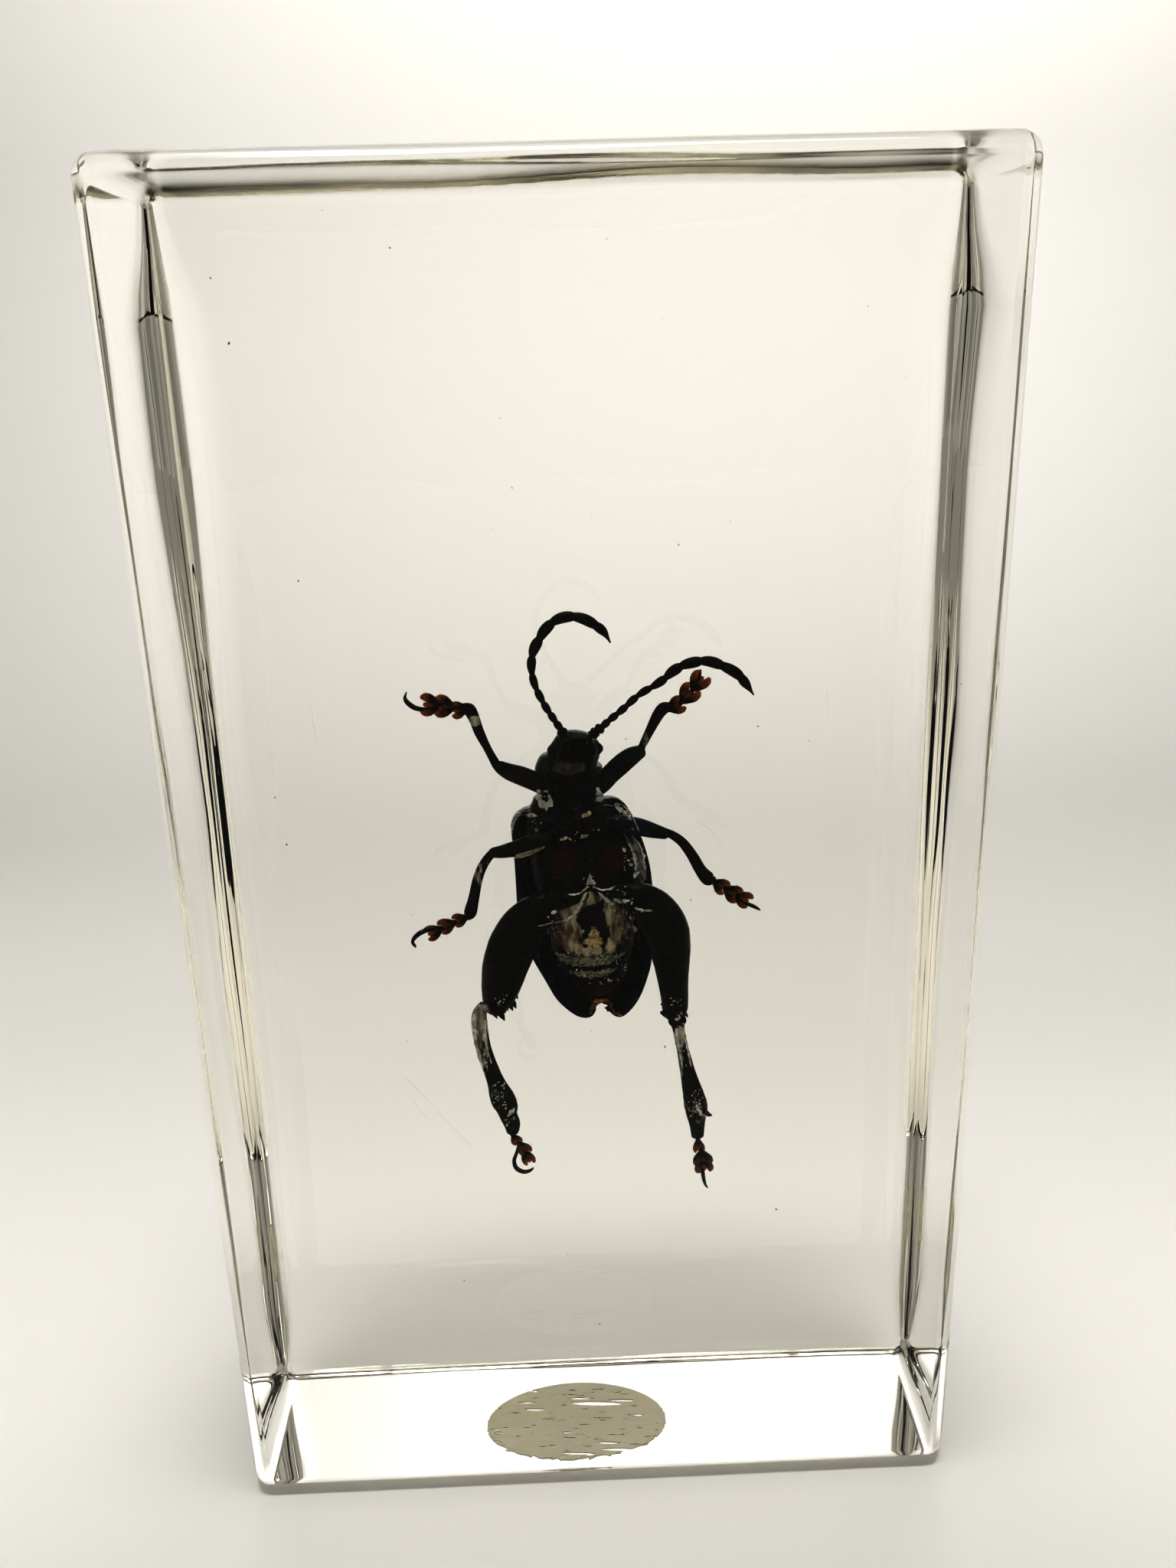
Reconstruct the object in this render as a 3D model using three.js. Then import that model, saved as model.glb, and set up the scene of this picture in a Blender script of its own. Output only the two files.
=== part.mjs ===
// A clear cast-resin specimen block standing on end, with a round self-adhesive label under it.
// Millimetres, +Z up. The origin is the centre of the footprint, at the surface the block rests on.
// The broad faces look along -Y and +Y. The specimen is sealed in solid resin, so the block is one solid.
import * as THREE from "three";
import { RoundedBoxGeometry } from "three/addons/geometries/RoundedBoxGeometry.js";

// Driving dimensions.
const BLOCK_WIDTH = 42; // along X
const BLOCK_DEPTH = 18; // along Y
const BLOCK_HEIGHT = 73; // along Z
const EDGE_RADIUS = 1.3; // hand-polished round on every edge and corner
const EDGE_STEPS = 5; // facets across a quarter round
const LABEL_DIAMETER = 11.6;
const LABEL_THICKNESS = 0.15;
const LABEL_CENTRE_X = -1.4; // it was stuck on by hand, a little off the middle
const LABEL_CENTRE_Y = -0.7;
const LABEL_SIDES = 64;

// Derived places.
const BLOCK_CENTRE_Z = LABEL_THICKNESS + BLOCK_HEIGHT / 2;

const resin = new THREE.MeshStandardMaterial({
  color: 0xf4f0dc,
  roughness: 0.04,
  metalness: 0,
  transparent: true,
  opacity: 0.3,
});

const labelFilm = new THREE.MeshStandardMaterial({
  color: 0xb9b296,
  roughness: 0.55,
  metalness: 0,
});

// The cast block, with every edge rounded by polishing.
function makeBlock() {
  const shape = new RoundedBoxGeometry(
    BLOCK_WIDTH,
    BLOCK_DEPTH,
    BLOCK_HEIGHT,
    EDGE_STEPS,
    EDGE_RADIUS,
  );
  const block = new THREE.Mesh(shape, resin);
  block.name = "resin_block";
  block.position.set(0, 0, BLOCK_CENTRE_Z);
  return block;
}

// The round label that the block stands on, face to face with its underside.
function makeLabel() {
  const outline = new THREE.Shape();
  outline.absarc(0, 0, LABEL_DIAMETER / 2, 0, 2 * Math.PI);
  const shape = new THREE.ExtrudeGeometry(outline, {
    depth: LABEL_THICKNESS,
    bevelEnabled: false,
    curveSegments: LABEL_SIDES,
  });
  const label = new THREE.Mesh(shape, labelFilm);
  label.name = "underside_label";
  label.position.set(LABEL_CENTRE_X, LABEL_CENTRE_Y, 0);
  return label;
}

const specimenBlock = new THREE.Group();
specimenBlock.add(makeBlock(), makeLabel());

export default specimenBlock;
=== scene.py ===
"""A frog-legged leaf beetle sealed in an upright block of clear cast resin.

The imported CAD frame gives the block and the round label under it. This script gives them their
finish, models the beetle inside in named pieces, and sets up a plain studio. Lengths are written
in millimetres and become metres where a mesh is made.
"""

from __future__ import annotations

import logging
import math
import random
from dataclasses import dataclass, field
from enum import Enum
from typing import Iterable, Sequence

import bmesh
import bpy
from bpy.types import ID, Material, Node, NodeSocket, NodeTree, Object
from mathutils import Matrix, Vector, noise
from mathutils.bvhtree import BVHTree


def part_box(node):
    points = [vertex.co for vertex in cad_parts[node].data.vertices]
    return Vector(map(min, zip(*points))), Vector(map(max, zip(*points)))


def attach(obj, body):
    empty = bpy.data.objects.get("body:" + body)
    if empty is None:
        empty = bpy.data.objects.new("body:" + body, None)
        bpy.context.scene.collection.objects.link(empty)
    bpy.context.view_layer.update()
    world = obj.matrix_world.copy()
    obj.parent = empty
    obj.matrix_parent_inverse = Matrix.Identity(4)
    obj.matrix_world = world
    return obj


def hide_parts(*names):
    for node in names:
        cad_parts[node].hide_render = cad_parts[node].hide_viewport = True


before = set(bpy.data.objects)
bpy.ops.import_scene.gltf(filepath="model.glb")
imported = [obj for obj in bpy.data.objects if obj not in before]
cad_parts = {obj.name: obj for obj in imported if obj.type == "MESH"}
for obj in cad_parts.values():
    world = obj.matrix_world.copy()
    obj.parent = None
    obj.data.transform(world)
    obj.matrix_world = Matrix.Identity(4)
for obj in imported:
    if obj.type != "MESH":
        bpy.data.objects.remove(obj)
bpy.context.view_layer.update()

LOG = logging.getLogger("resin_beetle")
MM = 0.001
BODY = "root"
SMOOTH = {"interpolation_type": "SMOOTHSTEP"}
FRAME_HEIGHT_PX = 2048

BLOCK_LOW, BLOCK_HIGH = (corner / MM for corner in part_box("resin_block"))
LABEL_LOW, LABEL_HIGH = (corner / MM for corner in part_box("underside_label"))
BLOCK_SIZE = BLOCK_HIGH - BLOCK_LOW
BLOCK_CENTRE = (BLOCK_HIGH + BLOCK_LOW) / 2


# ---------------------------------------------------------------- colours and shader nodes


def linear(hex_code: str) -> tuple[float, float, float, float]:
    """Turns an sRGB hex colour into linear RGBA.

    Args:
        hex_code: six hex digits, with or without a leading #.

    Returns:
        Linear red, green, blue and an alpha of 1.
    """
    digits = hex_code.lstrip("#")
    values = [int(digits[i : i + 2], 16) / 255 for i in (0, 2, 4)]
    made = [v / 12.92 if v <= 0.04045 else ((v + 0.055) / 1.055) ** 2.4 for v in values]
    return (made[0], made[1], made[2], 1.0)


def add_node(tree: NodeTree, kind: str, settings: dict | None = None, **sockets: object) -> Node:
    """Adds one node, sets its properties and fills or links its inputs.

    Args:
        tree: the node tree.
        kind: the node's bl_idname.
        settings: properties of the node itself.
        sockets: a value, an output socket, or a node whose first output is meant, by the input's
            name with spaces as underscores or by in_ and its number.

    Returns:
        The new node.
    """
    node = tree.nodes.new(kind)
    for name, value in (settings or {}).items():
        setattr(node, name, value)
    for name, value in sockets.items():
        socket = node.inputs[int(name[3:]) if name.startswith("in_") else name.replace("_", " ")]
        if isinstance(value, Node):
            value = value.outputs[0]
        if isinstance(value, NodeSocket):
            tree.links.new(value, socket)
        else:
            socket.default_value = value
    return node


def new_material(name: str) -> tuple[Material, NodeTree]:
    """Starts a material.

    Args:
        name: the material's name.

    Returns:
        The material and its empty node tree.
    """
    material = bpy.data.materials.new(name)
    material.use_nodes = True
    material.node_tree.nodes.clear()
    return material, material.node_tree


def close_material(tree: NodeTree, **sockets: object) -> Node:
    """Ends a material with its surface shader.

    Args:
        tree: the material's node tree.
        sockets: inputs of the Principled shader, as add_node takes them.

    Returns:
        The material's output node.
    """
    shader = add_node(tree, "ShaderNodeBsdfPrincipled", **sockets)
    return add_node(tree, "ShaderNodeOutputMaterial", Surface=shader)


def blend(tree: NodeTree, pattern: Node, low: float, high: float, first: str, second: str) -> NodeSocket:
    """Runs from one colour to another as a pattern rises.

    Args:
        tree: the material's node tree.
        pattern: the node whose first output is the pattern.
        low: the pattern's value where only the first colour shows.
        high: its value where only the second colour shows.
        first: the first colour, as hex.
        second: the second colour.

    Returns:
        The mixed colour.
    """
    share = add_node(tree, "ShaderNodeMapRange", Value=pattern, in_1=low, in_2=high)
    mix = add_node(tree, "ShaderNodeMix", {"data_type": "RGBA"}, in_0=share, in_6=linear(first),
                   in_7=linear(second))
    return mix.outputs[2]


@dataclass(frozen=True)
class CastResin:
    """Clear cast polyester, sanded and buffed by hand: glassy, faintly yellow in its depth."""

    index: float = 1.5
    roughness: float = 0.0
    top_roughness: float = 0.2  # the top was sanded flat and never buffed as brightly as the rest
    top_depth_mm: float = 1.1
    # What a metre of resin takes from red, green and blue light, as exponents.
    taken_per_m: tuple[float, float, float] = (0.3, 0.85, 3.2)

    def material(self) -> Material:
        """Returns the resin with plain transmission, IOR and absorption."""
        material, tree = new_material("cast_resin")
        parts = add_node(tree, "ShaderNodeSeparateXYZ",
                         Vector=add_node(tree, "ShaderNodeTexCoord").outputs["Object"])
        high = BLOCK_HIGH.z * MM
        rough = add_node(tree, "ShaderNodeMapRange", SMOOTH, Value=parts.outputs["Z"],
                         in_1=high - self.top_depth_mm * MM, in_2=high - 0.1 * MM,
                         in_3=self.roughness, in_4=self.top_roughness)
        density = max(self.taken_per_m) / 0.5
        colour = tuple(1 - taken / density for taken in self.taken_per_m)
        volume = add_node(tree, "ShaderNodeVolumeAbsorption", Color=(*colour, 1), Density=density)
        output = close_material(tree, Base_Color=(1, 1, 1, 1), Roughness=rough, IOR=self.index,
                                Transmission_Weight=1.0)
        tree.links.new(volume.outputs["Volume"], output.inputs["Volume"])
        return material


@dataclass(frozen=True)
class LabelFilm:
    """Round self-adhesive film: matte, dull olive beige, with pale streaks of painted reflection where the
    aged glue has let go.
    """

    colour: str = "fcf5dc"
    # the pale streak colour is painted reflection: the brightness of air where the glue does not wet
    reflection_streak: str = "fffefa"
    streak_mm: float = 1.3
    streak_lean: float = 6.0  # degrees from the X axis
    roughness: float = 0.6

    def material(self) -> Material:
        """Returns the label finish with its painted reflection streaks, on Object coordinates."""
        material, tree = new_material("label_film")
        fine = 1 / (self.streak_mm * MM)
        stretched = add_node(tree, "ShaderNodeMapping", Rotation=(0, 0, math.radians(self.streak_lean)),
                             Vector=add_node(tree, "ShaderNodeTexCoord").outputs["Object"],
                             Scale=(fine, 6 * fine, fine))
        grain = add_node(tree, "ShaderNodeTexNoise", Vector=stretched, Scale=1.0, Detail=6.0,
                         Roughness=0.65)
        close_material(tree, Base_Color=blend(tree, grain, 0.53, 0.6, self.colour, self.reflection_streak),
                       Roughness=self.roughness)
        return material


@dataclass(frozen=True)
class HairlineScratch:
    """A shallow scratch in buffed resin: torn, frosted walls that scatter light palely."""

    tint: str = "fffaf0"
    torn_mm: float = 0.4
    smoothest: float = 0.15
    roughest: float = 0.7
    index: float = 1.1  # against the resin round it

    def material(self) -> Material:
        """Returns the frosted finish, rougher in places."""
        material, tree = new_material("hairline_scratch")
        torn = add_node(tree, "ShaderNodeTexNoise", Scale=1 / (self.torn_mm * MM), Detail=2.0,
                        Vector=add_node(tree, "ShaderNodeTexCoord").outputs["Object"])
        rough = add_node(tree, "ShaderNodeMapRange", Value=torn, in_1=0.3, in_2=0.7,
                         in_3=self.smoothest, in_4=self.roughest)
        close_material(tree, Base_Color=linear(self.tint), Roughness=rough, IOR=self.index,
                       Transmission_Weight=1.0)
        return material


@dataclass(frozen=True)
class DustGrain:
    """Dust and lint cast into the resin: dull, brownish grey, each grain its own shade."""

    dark: str = "4a4438"
    pale: str = "b9b29c"
    grain_mm: float = 4.0
    roughness: float = 0.7

    def material(self) -> Material:
        """Returns the dust finish."""
        material, tree = new_material("cast_in_dust")
        shade = add_node(tree, "ShaderNodeTexNoise", Scale=1 / (self.grain_mm * MM), Detail=1.0,
                         Vector=add_node(tree, "ShaderNodeTexCoord").outputs["Object"])
        close_material(tree, Base_Color=blend(tree, shade, 0.35, 0.65, self.dark, self.pale),
                       Roughness=self.roughness)
        return material


@dataclass(frozen=True)
class StudioFloor:
    """Plain pale matte board that the block stands on."""

    colour: str = "ecebe8"
    roughness: float = 0.8

    def material(self) -> Material:
        """Returns the plain floor finish."""
        material, tree = new_material("pale_board")
        close_material(tree, Base_Color=linear(self.colour), Roughness=self.roughness)
        return material


# ---------------------------------------------------------------- mesh making


def link(name: str, data: ID) -> Object:
    """Adds an object to the scene.

    Args:
        name: the object's name.
        data: its mesh, lamp or camera.

    Returns:
        The object.
    """
    made = bpy.data.objects.new(name, data)
    bpy.context.scene.collection.objects.link(made)
    return made


def guide(name: str, points: Sequence[Sequence[float]]) -> Object:
    """Lays a bare line of points for a geometry tree to start from.

    Args:
        name: the piece that grows on it.
        points: its points, in millimetres.

    Returns:
        The guide, which is not a piece itself.
    """
    mesh = bpy.data.meshes.new(name + "_guide")
    edges = [(i, i + 1) for i in range(len(points) - 1)]
    mesh.from_pydata([tuple(c * MM for c in p) for p in points], edges, [])
    return link(name + "_guide", mesh)


def to_object(name: str, points: Iterable[Sequence[float]], faces: Iterable[Sequence[int]],
              material: Material, smooth: bool = True, closed: bool = True,
              values: dict[str, Sequence[float]] | None = None) -> Object:
    """Makes an object from points in millimetres, with its place in its mesh.

    Args:
        name: the piece's name.
        points: vertices in the row frame, in millimetres.
        faces: vertex indices of each face.
        material: the finish.
        smooth: True for smooth shading.
        closed: True for a closed mesh, whose faces are all turned outwards.
        values: numbers for each vertex, by the name of the attribute that holds them.

    Returns:
        The linked object.
    """
    mesh = bpy.data.meshes.new(name)
    mesh.from_pydata([tuple(c * MM for c in p) for p in points], [], [tuple(f) for f in faces])
    made = link(name, mesh)
    for title, numbers in (values or {}).items():
        mesh.attributes.new(title, "FLOAT", "POINT").data.foreach_set("value", numbers)
    work = bmesh.new()
    work.from_mesh(mesh)
    bmesh.ops.remove_doubles(work, verts=work.verts, dist=2e-7)
    if closed:
        bmesh.ops.recalc_face_normals(work, faces=work.faces)
    work.to_mesh(mesh)
    work.free()
    mesh.materials.append(material)
    mesh.polygons.foreach_set("use_smooth", [smooth] * len(mesh.polygons))
    mesh.update()
    return made


def settle(piece: Object, slot: str, *replaced: str) -> Object:
    """Puts a finished piece on the one body and hides any CAD node it stands for.

    Args:
        piece: the finished object.
        slot: the record's material slot; not used.
        replaced: CAD nodes that this piece is shown in place of.

    Returns:
        The same object.
    """
    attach(piece, BODY)
    if replaced:
        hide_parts(*replaced)
    LOG.info("%s: %d faces", piece.name, len(piece.data.polygons))
    return piece


# ---------------------------------------------------------------- line of sight


# Rows of numbers: landmark X and height, and then a half width or size, unless a field says otherwise.
Rows = tuple[tuple[float, ...], ...]
LANDMARK_DEPTH = -1.5  # row Y of the upright plane that the beetle's landmarks are given in
BACK_Y = 1.2  # blotches stay in front of this row Y, so none shows on the beetle's back


@dataclass(frozen=True)
class Sight:
    """The line of sight from the camera into the resin, bent where it enters the broad face.

    The beetle's landmarks are X and height above the block's underside, in one upright plane.
    A part that lies nearer or further away than that plane slides along its line of sight.
    """

    eye: Vector
    index: float

    def _slope(self, x: float, z: float, y: float) -> tuple[float, float]:
        """Finds how steeply the sight line runs inside the resin.

        Args:
            x: the point's X, in millimetres.
            z: the point's Z.
            y: the point's Y.

        Returns:
            The change of X and of Z for each millimetre of Y.
        """
        air, inside = BLOCK_LOW.y - self.eye.y, y - BLOCK_LOW.y
        across = Vector((x - self.eye.x, z - self.eye.z))
        reach = max(across.length, 1e-6)
        slope = 0.0
        for _ in range(8):
            outside = (reach - inside * slope) / air
            sine = outside / math.sqrt(1 + outside * outside) / self.index
            slope = sine / math.sqrt(1 - sine * sine)
        return across.x / reach * slope, across.y / reach * slope

    def slide(self, x: float, z: float, from_y: float, to_y: float) -> tuple[float, float]:
        """Moves a point along its sight line.

        Args:
            x: the point's X.
            z: the point's Z.
            from_y: the point's Y.
            to_y: the Y that it moves to.

        Returns:
            The new X and Z.
        """
        step_x, step_z = self._slope(x, z, from_y)
        return x + step_x * (to_y - from_y), z + step_z * (to_y - from_y)

    def place(self, x: float, z: float, y: float) -> Vector:
        """Puts a landmark at a depth.

        Args:
            x: the landmark's X.
            z: its height above the block's underside.
            y: the row Y to put it at.

        Returns:
            The point in the row frame, in millimetres.
        """
        moved_x, moved_z = self.slide(x, z + BLOCK_LOW.z, LANDMARK_DEPTH, y)
        return Vector((moved_x, y, moved_z))

    def landmark(self, point: Vector) -> tuple[float, float]:
        """Says where a point of the beetle lies among the landmarks.

        Args:
            point: a point in the row frame, in millimetres.

        Returns:
            X and height above the block's underside, in the landmarks' plane.
        """
        x, z = self.slide(point.x, point.z, point.y, LANDMARK_DEPTH)
        return x, z - BLOCK_LOW.z


CAMERA_X = -0.73
CAMERA_AHEAD = 56.74  # in front of the block's broad face
CAMERA_UP = 62.47  # above the block's underside
SIGHT = Sight(Vector((CAMERA_X, BLOCK_LOW.y - CAMERA_AHEAD, BLOCK_LOW.z + CAMERA_UP)), CastResin.index)


def smooth_path(points: Sequence[Sequence[float]], count: int) -> list[list[float]]:
    """Runs a Catmull-Rom curve through points of any dimension.

    Args:
        points: the control points.
        count: how many points to return.

    Returns:
        Points spread evenly by control point.
    """
    last = len(points) - 1
    made = []
    for i in range(count):
        at = i / (count - 1) * last
        k = min(int(at), last - 1)
        t = at - k
        p0, p1, p2, p3 = points[max(k - 1, 0)], points[k], points[k + 1], points[min(k + 2, last)]
        made.append([
            0.5 * (2 * b + (c - a) * t + (2 * a - 5 * b + 4 * c - d) * t * t
                   + (3 * b - a - 3 * c + d) * t ** 3)
            for a, b, c, d in zip(p0, p1, p2, p3)
        ])
    return made


def ease(low: float, high: float, value: float) -> float:
    """Returns 0 below low, 1 above high and a smooth step between them."""
    t = min(max((value - low) / (high - low), 0.0), 1.0)
    return t * t * (3 - 2 * t)


@dataclass(frozen=True)
class Blotch:
    """An oval mark on the cuticle, in landmark coordinates."""

    x: float
    z: float
    half_x: float
    half_z: float
    strength: float = 1.0

    def share(self, x: float, z: float) -> float:
        """Says how strongly the mark shows at a place.

        Args:
            x: landmark X.
            z: landmark height.

        Returns:
            The mark's strength there, from 0 to its full strength.
        """
        far = math.hypot((x - self.x) / self.half_x, (z - self.z) / self.half_z)
        return self.strength * (1 - ease(0.6, 1.15, far))


CAP_STEPS = 4  # sections in the rounding of a loft's end
LEAST_HALF = 0.01  # no section is narrower than this, in millimetres


@dataclass
class Skin:
    """A closed mesh put together from lofts, with marks for its finish on its points."""

    points: list[Vector] = field(default_factory=list)
    faces: list[tuple[int, ...]] = field(default_factory=list)
    along: list[float] = field(default_factory=list)

    def loft(self, stations: Sequence[Sequence[float]], sides: int = 20, samples: int = 24,
             rounding: float = 2.0, blunt: tuple[float, float] = (1.0, 1.0), uneven: float = 0.0) -> "Skin":
        """Adds one closed limb, plate or lobe along a smooth path.

        Args:
            stations: X, Y, Z, half width and half depth at each control point, in millimetres.
            sides: points round each section.
            samples: sections along the path.
            rounding: exponent of the section's outline, 2 for an ellipse and more for a box.
            blunt: length of each end's rounding, in half depths there.
            uneven: how much the radius wanders, as a share of it.

        Returns:
            This skin, so that calls can follow one another.
        """
        line = smooth_path(stations, samples)
        spine = [Vector(station[:3]) for station in line]
        rings: list[tuple[Vector, Vector, float, float, float]] = []
        for i, station in enumerate(line):
            ahead = (spine[min(i + 1, samples - 1)] - spine[max(i - 1, 0)]).normalized()
            wide, deep = (max(half, LEAST_HALF) for half in station[3:])
            rings.append((spine[i], ahead, wide, deep, i / (samples - 1)))
        start, end = self._cap(rings[0], -blunt[0]), self._cap(rings[-1], blunt[1])
        self._join(start[::-1] + rings + end, sides, 2 / rounding, uneven)
        return self

    @staticmethod
    def _cap(ring: tuple[Vector, Vector, float, float, float], blunt: float) -> list[tuple]:
        """Rounds off the end of a loft.

        Args:
            ring: centre, direction, half width, half depth and share of the last full section.
            blunt: length of the rounding in half depths, below 0 at the start.

        Returns:
            Smaller and smaller sections, from the full one outwards.
        """
        centre, ahead, wide, deep, share = ring
        made = []
        for k in range(1, CAP_STEPS + 1):
            turn = math.pi / 2 * k / CAP_STEPS
            out = centre + ahead * min(wide, deep) * blunt * math.sin(turn)
            made.append((out, ahead, wide * math.cos(turn), deep * math.cos(turn), share))
        return made

    def _join(self, rings: Sequence[tuple[Vector, Vector, float, float, float]], sides: int,
              power: float, uneven: float) -> None:
        """Turns sections into points and faces, with a pole at each end.

        Args:
            rings: centre, direction, half width, half depth and share of the length of each.
            sides: points round each section.
            power: exponent of the section's sine and cosine.
            uneven: how much the radius wanders.
        """
        base = len(self.points)
        for centre, ahead, wide, deep, share in rings:
            across = ahead.cross(Vector((0, 1, 0)))
            if across.length < 1e-4:
                across = Vector((1, 0, 0))
            across.normalize()
            outward = ahead.cross(across).normalized()
            if outward.y > 0:
                outward = -outward
            for j in range(sides):
                turn = 2 * math.pi * j / sides
                c, s = math.cos(turn), math.sin(turn)
                shape_c = math.copysign(abs(c) ** power, c)
                shape_s = math.copysign(abs(s) ** power, s)
                offset = across * (wide * shape_c) + outward * (deep * shape_s)
                if uneven:
                    at = (centre + offset) * 1.7
                    offset *= 1 + uneven * (noise.noise(at) + 0.5 * noise.noise(at * 2.6))
                self.points.append(centre + offset)
                self.along.append(share)
        for i in range(len(rings) - 1):
            for j in range(sides):
                a, b = base + i * sides + j, base + i * sides + (j + 1) % sides
                self.faces.append((a, b, b + sides, a + sides))

    def sheet(self, rows: Sequence[Sequence[Vector]], thickness: float) -> "Skin":
        """Adds a closed thin sheet from a grid of points.

        Args:
            rows: the grid of the outer face, in millimetres.
            thickness: how thick the sheet is, measured away from the camera's side.

        Returns:
            This skin.
        """
        return self._close(rows, [[point + Vector((0, thickness, 0)) for point in row] for row in rows])

    def shell(self, rows: Sequence[Sequence[Vector]], thickness: float, core: Vector) -> "Skin":
        """Adds a closed curved shell under a grid of points.

        Args:
            rows: the grid of the outer face, in millimetres.
            thickness: how thick the shell is.
            core: a point inside the shell, which says which way is in.

        Returns:
            This skin.
        """
        inner: list[list[Vector]] = []
        for i, row in enumerate(rows):
            inner.append([])
            for j, point in enumerate(row):
                down = rows[min(i + 1, len(rows) - 1)][j] - rows[max(i - 1, 0)][j]
                over = row[min(j + 1, len(row) - 1)] - row[max(j - 1, 0)]
                normal = down.cross(over)
                if normal.length > 1e-9:
                    normal.normalize()
                if normal.dot(point - core) < 0:
                    normal = -normal
                inner[-1].append(point - normal * thickness)
        return self._close(rows, inner)

    def _close(self, outer: Sequence[Sequence[Vector]], inner: Sequence[Sequence[Vector]]) -> "Skin":
        """Adds two grids of points that follow one another, and joins them at their rim.

        Args:
            outer: the grid of the outer face.
            inner: the grid of the inner face.

        Returns:
            This skin.
        """
        base, height, width = len(self.points), len(outer), len(outer[0])
        for grid in (outer, inner):
            for i, row in enumerate(grid):
                self.points.extend(row)
                self.along.extend([i / (height - 1)] * width)
        count = height * width
        for i in range(height - 1):
            for j in range(width - 1):
                a = base + i * width + j
                b = a + count
                self.faces.append((a, a + 1, a + width + 1, a + width))
                self.faces.append((b, b + width, b + width + 1, b + 1))
        rim = [base + j for j in range(width)]
        rim += [base + i * width + width - 1 for i in range(1, height)]
        rim += [base + (height - 1) * width + j for j in range(width - 2, -1, -1)]
        rim += [base + i * width for i in range(height - 2, 0, -1)]
        for a, b in zip(rim, rim[1:] + rim[:1]):
            self.faces.append((a, a + count, b + count, b))
        return self

    def make(self, name: str, material: Material, marks: dict[str, Sequence[Blotch]] | None = None) -> Object:
        """Turns the skin into a smooth object.

        Args:
            name: the piece's name.
            material: its finish.
            marks: blotches by the name of the attribute that the finish reads.

        Returns:
            The object.
        """
        values: dict[str, list[float]] = {"along": self.along}
        for mark, blotches in (marks or {}).items():
            values[mark] = []
            for point in self.points:
                x, z = SIGHT.landmark(point)
                front = point.y < BACK_Y
                shares = [b.share(x, z) for b in blotches] if front else []
                values[mark].append(max(shares, default=0.0) + min(0.0, min(shares, default=0.0)))
        return to_object(name, self.points, self.faces, material, values=values)


# ---------------------------------------------------------------- finishes of the beetle


class Sheen(Enum):
    """Which way a part's near-black cuticle leans: its ground colour and its metallic glint."""

    GREEN = ("020403", "0a2823")
    BLUE = ("020303", "08182a")
    BLACK = ("020202", "0b0a08")
    VIOLET = ("030204", "1b1236")


@dataclass(frozen=True)
class BeetleCuticle:
    """Dried cuticle: a hard layered shell, finely pitted, near black with a cold metallic glint.

    Where air has crept under the resin its silver reflection is painted into the colour, and thin places glow
    rust red.
    """

    sheen: Sheen
    # the default film colours are painted reflection of trapped air, in a lighter and a darker tone
    film: str = "e2ddca"
    film_shade: str = "79735f"
    rust: str = "3a0a05"
    mottle_mm: float = 1.3
    pit_mm: float = 0.2
    pit_depth_mm: float = 0.02
    film_grain_mm: float = 0.28
    film_stretch: float = 1.0  # how much longer the film's grain is along the body
    smoothest: float = 0.2
    roughest: float = 0.36
    metal: float = 0.4  # share of metallic glint in the bare shell
    film_metal: float = 0.25
    index: float = 1.18  # of the shell against the resin round it

    def material(self) -> Material:
        """Returns the cuticle, which reads the silver and rust attributes of a piece."""
        material, tree = new_material(f"beetle_cuticle_{self.sheen.name.lower()}")
        here = add_node(tree, "ShaderNodeTexCoord").outputs["Object"]
        mottle = add_node(tree, "ShaderNodeTexNoise", Vector=here, Detail=3.0,
                          Scale=1 / (self.mottle_mm * MM))
        rust = add_node(tree, "ShaderNodeAttribute", {"attribute_name": "rust"})
        warm = add_node(tree, "ShaderNodeMix", {"data_type": "RGBA"}, in_0=rust.outputs["Fac"],
                        in_6=blend(tree, mottle, 0.42, 0.66, *self.sheen.value), in_7=linear(self.rust))
        # the silver attribute marks where the film colours cover the bare shell; the default ones paint the
        # reflection of trapped air
        silver = add_node(tree, "ShaderNodeAttribute", {"attribute_name": "silver"})
        drawn = add_node(tree, "ShaderNodeMapping", Vector=here, Scale=(1, 1, 1 / self.film_stretch))
        grain = add_node(tree, "ShaderNodeTexNoise", Vector=drawn, Scale=1 / (self.film_grain_mm * MM),
                         Detail=5.0, Roughness=0.62)
        reach = add_node(tree, "ShaderNodeMath", {"operation": "MULTIPLY_ADD"}, in_0=grain, in_1=1.5,
                         in_2=silver.outputs["Fac"])
        torn = add_node(tree, "ShaderNodeMapRange", SMOOTH, Value=reach, in_1=1.2, in_2=1.5)
        cloud = add_node(tree, "ShaderNodeTexNoise", Vector=drawn, Detail=3.0,
                         Scale=0.55 / (self.film_grain_mm * MM))
        colour = add_node(tree, "ShaderNodeMix", {"data_type": "RGBA"}, in_0=torn, in_6=warm.outputs[2],
                          in_7=blend(tree, cloud, 0.4, 0.62, self.film_shade, self.film))
        metal = add_node(tree, "ShaderNodeMapRange", Value=torn, in_3=self.metal, in_4=self.film_metal)
        rough = add_node(tree, "ShaderNodeMapRange", Value=mottle, in_1=0.3, in_2=0.7,
                         in_3=self.smoothest, in_4=self.roughest)
        pits = add_node(tree, "ShaderNodeTexVoronoi", Vector=here, Scale=1 / (self.pit_mm * MM))
        hollow = add_node(tree, "ShaderNodeMapRange", Value=pits, in_1=0.1, in_2=0.42)
        bump = add_node(tree, "ShaderNodeBump", Strength=0.6, Distance=self.pit_depth_mm * MM, Height=hollow)
        close_material(tree, Base_Color=colour.outputs[2], Metallic=metal, Roughness=rough,
                       IOR=self.index, Normal=bump)
        return material


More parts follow.
